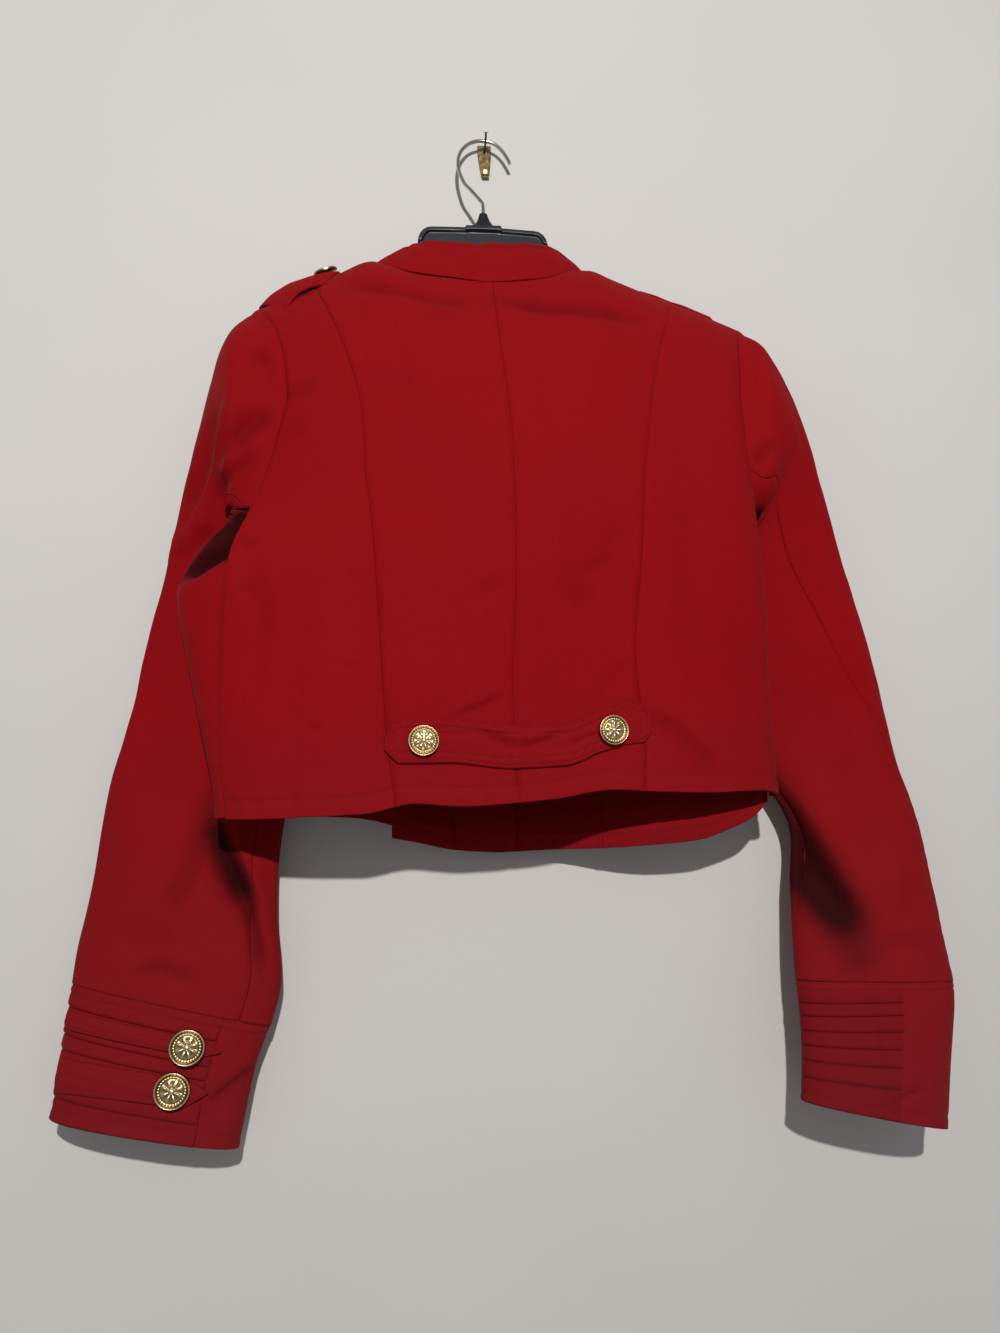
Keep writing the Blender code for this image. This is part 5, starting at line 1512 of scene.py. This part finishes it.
def lathe(foot: Array, profile: list[tuple[float, float]], squash: float) -> Array:
    """Rings about a vertical axis: the radius is a smooth function of height, and y is squashed.

    Args:
        foot: x and y of the axis.
        profile: Height and radius, from the bottom up.
        squash: Depth over width.

    Returns:
        Points, rings by points round them by 3.
    """
    z = np.linspace(profile[0][0], profile[-1][0], 40)
    r = curve(profile, z)
    phi = np.linspace(0, math.tau, 48, endpoint=False)
    return np.stack([foot[0] + r[:, None] * np.cos(phi), foot[1] + squash * r[:, None] * np.sin(phi),
                     z[:, None] + 0 * phi], axis=2)


def rod(path: Array, radius: Array, sides: int = 24) -> Array:
    """Rings of a round bar: circles across the path's direction.

    Args:
        path: Points of the middle line.
        radius: Radius at each point.
        sides: Points round it.

    Returns:
        Points, rings by points round them by 3.
    """
    t = unit(np.gradient(path, axis=0))
    first = np.cross(t, np.array([0.0, 1.0, 0.0]) if abs(t[0, 1]) < 0.8 else np.array([1.0, 0.0, 0.0]))
    first /= np.linalg.norm(first, axis=1, keepdims=True)
    second = np.cross(first, t)
    phi = np.linspace(0, math.tau, sides, endpoint=False)
    return path[:, None] + radius[:, None, None] * (np.cos(phi)[None, :, None] * first[:, None]
                                                    + np.sin(phi)[None, :, None] * second[:, None])


@dataclass
class WallHook:
    """The hanger's wire, the nail that it hangs on and the small brass plate below it."""

    x: float = 0.0045

    def build(self) -> None:
        """Builds wire, nail and plate."""
        wire = [(-0.0030, -0.0352, -0.0740), (-0.0030, -0.0350, -0.0688), (-0.0030, -0.0345, -0.0607),
                (-0.0040, -0.0330, -0.0557), (-0.0121, -0.0285, -0.0411), (-0.0176, -0.0250, -0.0311),
                (-0.0212, -0.0205, -0.0155), (-0.0215, -0.0175, -0.0028), (-0.0186, -0.0142, 0.0094),
                (-0.0118, -0.0122, 0.0190), (-0.0033, -0.0113, 0.0238), (0.0050, -0.0112, 0.0243),
                (0.0130, -0.0113, 0.0215), (0.0195, -0.0114, 0.0149), (0.0250, -0.0117, 0.0045),
                (0.0257, -0.0118, 0.0012)]
        path = spline(wire, np.linspace(0, 1, 200))
        radius = 0.0016 * np.sqrt(np.clip(1 - ((np.linspace(0, 1, 200) - 0.994).clip(0) / 0.0062) ** 2, 0.01, 1))
        tube("hanger_wire", rod(path, radius), Slot.WIRE, Finishes.chrome(), "hanger_hook")
        shaft = spline([(self.x, -0.0004, 0.0208), (self.x, -0.0050, 0.0211), (self.x, -0.0110, 0.0214),
                        (self.x, -0.0160, 0.0232), (self.x, -0.0185, 0.0254), (self.x, -0.0197, 0.0266)],
                       np.linspace(0, 1, 60))
        s = np.linspace(0, 1, 60)
        head = np.where(s > 0.935, 0.0026, 0.0009)
        tube("wall_nail_steel", rod(shaft, head, 20), Slot.NAIL, Finishes.steel(), "wall_nail")
        plate_rows = [(0.0280, 0.0062, 0.0), (0.0170, 0.0060, 0.0), (0.0050, 0.0049, 0.0), (-0.0040, 0.0036, -0.0001),
                      (-0.0056, 0.0032, -0.0016), (-0.0054, 0.0030, -0.0040), (-0.0012, 0.0028, -0.0052)]
        line = spline(plate_rows, np.linspace(0, 1, 60))
        w = np.linspace(-1, 1, 21)
        y = line[:, 2:3] - 0.0004 + 0.0005 * (np.abs(w) ** 3)[None]
        grid = np.stack([self.x + line[:, 1:2] * w, np.minimum(y, -0.0001) - 0.0009, line[:, 0:1] + 0 * w], axis=2)
        n = grid_normals(grid)
        n *= np.sign(-n[5, 10, 1])
        plate = Sheet(grid, n, 0.0009).mesh("wall_plate_brass", Finishes.brass())
        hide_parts("wall_plate")


METAL_RELIEF = (0.08, 0.0004)
Feed = dict[str, object]
Colour = tuple[float, float, float]


def node(tree: bpy.types.NodeTree, kind: str, inputs: Feed) -> bpy.types.Node:
    """Adds a shader node.

    Args:
        tree: The material's nodes.
        kind: The node's type, without ShaderNode.
        inputs: For some of its inputs, a value, or the socket that feeds it.

    Returns:
        The new node.
    """
    made = tree.nodes.new("ShaderNode" + kind)
    feed(tree, made, inputs)
    return made


def feed(tree: bpy.types.NodeTree, made: bpy.types.Node, inputs: Feed) -> None:
    """Gives a node's inputs their values or their sockets."""
    for name, value in inputs.items():
        if isinstance(value, bpy.types.NodeSocket):
            tree.links.new(value, made.inputs[name])
        else:
            made.inputs[name].default_value = value


def mixed(tree: bpy.types.NodeTree, blend: str, inputs: Feed) -> bpy.types.NodeSocket:
    """A mix of two colours, MIX or MULTIPLY."""
    made = tree.nodes.new("ShaderNodeMix")
    made.data_type = "RGBA"
    made.blend_type = blend
    feed(tree, made, inputs)
    return made.outputs["Result"]


def stored(tree: bpy.types.NodeTree, name: str) -> bpy.types.NodeSocket:
    """The value of a mesh's own attribute."""
    made = node(tree, "Attribute", {})
    made.attribute_name = name
    return made.outputs["Fac"]


def noise(tree: bpy.types.NodeTree, source: bpy.types.NodeSocket, scale: float, detail: float = 3.0
          ) -> bpy.types.NodeSocket:
    """A noise texture's value on the given coordinates."""
    return node(tree, "TexNoise", {"Scale": scale, "Detail": detail, "Vector": source}).outputs["Fac"]


def ramp(tree: bpy.types.NodeTree, source: bpy.types.NodeSocket, stops: Sequence[tuple[float, Colour]]
         ) -> bpy.types.NodeSocket:
    """A colour ramp on a value."""
    made = node(tree, "ValToRGB", {"Fac": source})
    band = made.color_ramp
    while len(band.elements) < len(stops):
        band.elements.new(0.5)
    for element, (place, colour) in zip(band.elements, stops):
        element.position = place
        element.color = (*colour, 1.0)
    return made.outputs["Color"]


def bump(tree: bpy.types.NodeTree, shader: bpy.types.Node, heights: Sequence[tuple[bpy.types.NodeSocket, float]],
         distance: float) -> None:
    """Chains bump nodes, one per height and strength, into the shader's normal."""
    last: Feed = {}
    for socket, strength in heights:
        made = node(tree, "Bump", {"Strength": strength, "Distance": distance, "Height": socket, **last})
        last = {"Normal": made.outputs["Normal"]}
    feed(tree, shader, last)


class Finishes:
    """The materials, each made once."""

    made: dict[str, bpy.types.Material] = {}

    @classmethod
    def start(cls, name: str) -> tuple[bpy.types.NodeTree, bpy.types.Node, bpy.types.NodeSocket]:
        """A new node material: its nodes, its Principled shader and the object's coordinates."""
        mat = bpy.data.materials.new(name)
        mat.use_nodes = True
        cls.made[name] = mat
        tree = mat.node_tree
        return tree, tree.nodes["Principled BSDF"], node(tree, "TexCoord", {}).outputs["Object"]

    @classmethod
    def twill(cls) -> bpy.types.Material:
        """Red cotton twill: steep fine ribs along the cut, slubs, a slow change of shade, a greyer colour towards the
        bottom, and painted shade that darkens it in creases and tucks.
        """
        if "red_twill" in cls.made:
            return cls.made["red_twill"]
        tree, shader, place = cls.start("red_twill")
        uv = node(tree, "UVMap", {})
        uv.uv_map = "cut"
        turned = node(tree, "Mapping", {"Rotation": (0, 0, math.radians(28)), "Vector": uv.outputs["UV"]})
        rib = node(tree, "TexWave", {"Scale": 1000 / 1.15 * math.pi / 10, "Distortion": 0.6, "Detail": 2.0,
                                     "Detail Scale": 1.5, "Vector": turned.outputs["Vector"]})
        thread = noise(tree, uv.outputs["UV"], 900.0, 4.0)
        slub = noise(tree, place, 160.0)
        base = ramp(tree, noise(tree, place, 7.0, 4.0), [(0.30, (0.252, 0.0010, 0.0036)),
                                                         (0.70, (0.272, 0.0013, 0.0040))])
        speck = ramp(tree, slub, [(0.30, (0.95, 0.95, 0.95)), (0.70, (1.0, 1.0, 1.0))])
        cloth = mixed(tree, "MULTIPLY", {"Factor": 1.0, "A": base, "B": speck})
        # The cloth's colour turns greyer and a little darker towards the bottom, by its height.
        parts = node(tree, "SeparateXYZ", {"Vector": place})
        low = node(tree, "MapRange", {"From Min": -0.50, "From Max": -0.80, "Value": parts.outputs["Z"]})
        greyer_low = mixed(tree, "MIX", {"Factor": low.outputs["Result"], "A": cloth, "B": (0.205, 0.0068, 0.0110, 1.0)})
        # Painted shade: the stored crease depth darkens the cloth's colour, down to a dark grey in the deepest folds.
        depth = ramp(tree, stored(tree, "painted_crease_shade"), [(0.0, (1.0, 1.0, 1.0)), (0.35, (0.62, 0.62, 0.64)),
                                                  (1.0, (0.13, 0.16, 0.20))])
        feed(tree, shader, {"Base Color": mixed(tree, "MULTIPLY", {"Factor": 1.0, "A": greyer_low, "B": depth}),
                            "Roughness": 0.82, "Specular IOR Level": 0.10, "Sheen Weight": 0.05,
                            "Sheen Roughness": 0.45, "Sheen Tint": (0.9, 0.25, 0.25, 1)})
        bump(tree, shader, [(rib.outputs["Fac"], 0.22), (thread, 0.12), (slub, 0.25)], 0.0006)
        return cls.made["red_twill"]

    @classmethod
    def thread(cls) -> bpy.types.Material:
        """Red sewing thread, a little darker than the cloth."""
        if "red_thread" not in cls.made:
            tree, shader, place = cls.start("red_thread")
            base = ramp(tree, noise(tree, place, 420.0), [(0.3, (0.170, 0.0060, 0.0100)),
                                                          (0.7, (0.250, 0.0090, 0.0140))])
            feed(tree, shader, {"Base Color": base, "Roughness": 0.7, "Specular IOR Level": 0.25})
        return cls.made["red_thread"]

    @classmethod
    def gilt(cls) -> bpy.types.Material:
        """Pale gilt with dark hollows, from the attribute that says how far a point stands out."""
        if "pale_gilt" not in cls.made:
            tree, shader, place = cls.start("pale_gilt")
            base = ramp(tree, stored(tree, "worn"), [(0.0, (0.100, 0.062, 0.022)), (0.40, (0.440, 0.320, 0.150)),
                                                     (1.0, (0.800, 0.670, 0.430))])
            grain = noise(tree, place, 500.0)
            rough = node(tree, "MapRange", {"To Min": 0.24, "To Max": 0.42, "Value": grain})
            feed(tree, shader, {"Base Color": base, "Roughness": rough.outputs["Result"], "Metallic": 1.0})
            bump(tree, shader, [(grain, 0.12)], 0.0003)
        return cls.made["pale_gilt"]

    @classmethod
    def mottled(cls, name: str, dark: Colour, light: Colour, metallic: float, rough: float, scale: float,
                relief: tuple[float, float]) -> bpy.types.Material:
        """A plain material with a mottled colour and a fine bump.

        Args:
            name: Material name.
            dark: Its darker colour, as of tarnish.
            light: Its lighter colour.
            metallic: 1 for a metal.
            rough: Roughness.
            scale: Scale of the mottling.
            relief: Strength and distance of the bump.
        """
        if name not in cls.made:
            tree, shader, place = cls.start(name)
            value = noise(tree, place, scale)
            feed(tree, shader, {"Base Color": ramp(tree, value, [(0.3, dark), (0.7, light)]), "Metallic": metallic,
                                "Roughness": rough})
            bump(tree, shader, [(value, relief[0])], relief[1])
        return cls.made[name]

    @classmethod
    def chrome(cls) -> bpy.types.Material:
        """Bright wire."""
        return cls.mottled("bright_wire", (0.42, 0.41, 0.40), (0.62, 0.61, 0.60), 1.0, 0.20, 90.0, METAL_RELIEF)

    @classmethod
    def steel(cls) -> bpy.types.Material:
        """Darkened nail."""
        return cls.mottled("dark_steel", (0.030, 0.026, 0.024), (0.110, 0.090, 0.080), 1.0, 0.45, 400.0, METAL_RELIEF)

    @classmethod
    def brass(cls) -> bpy.types.Material:
        """Worn brass plate."""
        return cls.mottled("worn_brass", (0.170, 0.105, 0.040), (0.520, 0.380, 0.190), 1.0, 0.36, 260.0, METAL_RELIEF)

    @classmethod
    def plastic(cls) -> bpy.types.Material:
        """Black moulded plastic with a slate cast."""
        return cls.mottled("black_plastic", (0.0055, 0.0072, 0.0115), (0.0078, 0.0100, 0.0155), 0.0, 0.34, 300.0,
                           (0.05, 0.0003))


@dataclass
class Studio:
    """The wall behind the jacket, the lamp, the soft fill and the camera.

    Attributes:
        frame: Width and height of the picture in pixels.
        film: Height of the camera's frame in millimetres.
        focal: Focal length in pixels.
        eye: Place of the camera in the working frame.
        yaw: Its turn to the right in degrees.
        pitch: Its turn upwards in degrees.
        roll: Its turn about its own axis in degrees.
        lamp: Power of the lamp in watts.
        bulb: Radius of the lamp in metres.
        lamp_place: Place of the lamp.
        fill: Strength of the surrounding light.
    """

    frame: tuple[int, int] = (1000, 1333)
    film: float = 36.0
    focal: float = 963.0
    eye: tuple[float, float, float] = (-0.0940, -0.7602, -0.6234)
    yaw: float = 7.0
    pitch: float = 12.0
    roll: float = -2.4
    lamp: float = 136.0
    bulb: float = 0.028
    lamp_place: tuple[float, float, float] = (-0.06, -2.0, 0.22)
    fill: float = 0.25

    def wall(self) -> None:
        """A pale wall, seen only from its front, so that it hides nothing from other sides."""
        half, level = 1.6, -0.40
        verts = [(-half, 0.0004, level - half), (half, 0.0004, level - half), (half, 0.0004, level + half),
                 (-half, 0.0004, level + half)]
        obj = mesh_object("wall", np.array(verts), [[0, 1, 2, 3]], smooth=False)
        mat = bpy.data.materials.new("wall_paint")
        mat.use_nodes = True
        tree = mat.node_tree
        shader = tree.nodes["Principled BSDF"]
        place = node(tree, "TexCoord", {}).outputs["Object"]
        base = ramp(tree, noise(tree, place, 2.2), [(0.3, (0.600, 0.585, 0.565)), (0.7, (0.640, 0.622, 0.600))])
        feed(tree, shader, {"Base Color": base, "Roughness": 0.75})
        bump(tree, shader, [(noise(tree, place, 60.0), 0.10)], 0.002)
        behind = node(tree, "NewGeometry", {}).outputs["Backfacing"]
        mix = node(tree, "MixShader", {"Fac": behind})
        tree.links.new(shader.outputs["BSDF"], mix.inputs[1])
        tree.links.new(node(tree, "BsdfTransparent", {}).outputs["BSDF"], mix.inputs[2])
        feed(tree, tree.nodes["Material Output"], {"Surface": mix.outputs["Shader"]})
        obj.data.materials.append(mat)

    def light(self) -> None:
        """One hard lamp from the front and above, and an even pale surround."""
        lamp = bpy.data.lights.new("lamp", "POINT")
        lamp.energy = self.lamp
        lamp.shadow_soft_size = self.bulb
        lamp.color = (1.0, 0.975, 0.95)
        obj = bpy.data.objects.new("lamp", lamp)
        obj.location = self.lamp_place
        bpy.context.scene.collection.objects.link(obj)
        world = bpy.data.worlds.new("surround")
        world.use_nodes = True
        sky = world.node_tree.nodes["Background"]
        sky.inputs["Color"].default_value = (0.96, 0.97, 1.0, 1.0)
        sky.inputs["Strength"].default_value = self.fill
        bpy.context.scene.world = world

    def camera(self) -> None:
        """The photograph's camera: below the hem's level, a little to the left, looking up and turned right."""
        yaw, pitch, roll = math.radians(self.yaw), math.radians(self.pitch), math.radians(self.roll)
        ahead = np.array([math.sin(yaw) * math.cos(pitch), math.cos(yaw) * math.cos(pitch), math.sin(pitch)])
        right = np.array([math.cos(yaw), -math.sin(yaw), 0.0])
        up = np.cross(right, ahead)
        x_axis = math.cos(roll) * right + math.sin(roll) * up
        y_axis = -math.sin(roll) * right + math.cos(roll) * up
        eye = np.array(self.eye) + SHIFT
        lens = bpy.data.cameras.new("photograph")
        lens.sensor_fit = "VERTICAL"
        lens.sensor_height = self.film
        lens.sensor_width = self.film * self.frame[0] / self.frame[1]
        lens.lens = self.focal / self.frame[1] * self.film
        lens.clip_start = 0.02
        obj = bpy.data.objects.new("photograph", lens)
        obj.matrix_world = Matrix([[x_axis[i], y_axis[i], -ahead[i], eye[i]] for i in range(3)] + [[0, 0, 0, 1]])
        bpy.context.scene.collection.objects.link(obj)
        bpy.context.scene.camera = obj

    def build(self) -> None:
        """Sets up wall, light, camera and the colour transform."""
        self.wall()
        self.light()
        self.camera()
        bpy.context.scene.view_settings.view_transform = "Standard"


def stitch_rows(body: Body) -> None:
    """Stitch rows on the hems: one round the back, two round the fronts.

    Args:
        body: The finished body.
    """
    for grid, normal, depths in ((body.back_done, body.back_normal, (0.0105,)),
                                 (body.left_done, body.left_normal, (0.0040, 0.0115)),
                                 (body.right_done, body.right_normal, (0.0040, 0.0115))):
        rise = lengths(grid, 1)
        place = np.arange(grid.shape[1])
        for depth in depths:
            where = np.array([np.interp(depth, r, place) for r in rise])
            row = np.stack([[np.interp(p, place, g[:, c]) for c in range(3)] for p, g in zip(where, grid)])
            lean = normal[:, int(where.mean())]
            Stitching.add(row + lean * THREAD_LIFT, lean, HEM_PITCH)
            if grid is not body.back_done:
                Stitching.add(row - lean * (CLOTH + THREAD_LIFT), -lean, HEM_PITCH)


def armhole(panel: Array, front: Array, v: Array, push: float) -> Array:
    """The armhole loop: from the shoulder tip down the back's edge, round the armpit and up the front's edge."""
    above = v >= 0.9999
    pts = np.concatenate([panel[above][::-1], front[above][1:]]).copy()
    pts[:, 0] += push
    return pts


def main() -> None:
    """Builds the jacket, its hanger and the studio."""
    logging.basicConfig(level=logging.INFO, format="%(message)s")
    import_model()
    cloth = Finishes.twill()
    Studio().build()
    body = Body(cloth)
    body.build()
    for side, rings, seams, edge, front, push in (
            (Side.LEFT, SLEEVE_LEFT, SEAMS_LEFT, body.back_done[0], body.left_done[0], -0.0001),
            (Side.RIGHT, SLEEVE_RIGHT, SEAMS_RIGHT, body.back_done[-1], body.right_done[-1], 0.0001)):
        Sleeve(side, rings, seams, armhole(edge, front, body.v, push), cloth).build()
    Cuff(Side.LEFT, CUFF_LEFT, 120.0, [0.24, 0.37, 0.50, 0.62, 0.74, 0.86], (-120.0, 118.0), cloth).build()
    Cuff(Side.RIGHT, CUFF_RIGHT, 200.0, [0.24, 0.35, 0.47, 0.58, 0.69, 0.80], (-178.0, -84.0), cloth).build()
    Collar(cloth).build()
    Belt(cloth).build()
    for side in Side:
        Epaulette(side, cloth).build()
    for name, z in (("front_button_upper", -0.2600), ("front_button_middle", -0.3750), ("front_button_lower", -0.4900)):
        flat = body.right_done.reshape(-1, 3)
        near = np.argsort(np.hypot(flat[:, 0] + 0.0350, flat[:, 2] - z))[:6]
        Button(name, np.array([-0.0350, flat[near, 1].max() + 0.0004, z]), np.array([0.0, 1.0, 0.0]), 0.0100).build()
    Hanger().build()
    WallHook().build()
    stitch_rows(body)
    Stitching.build(Finishes.thread())


if __name__ == "__main__":
    main()
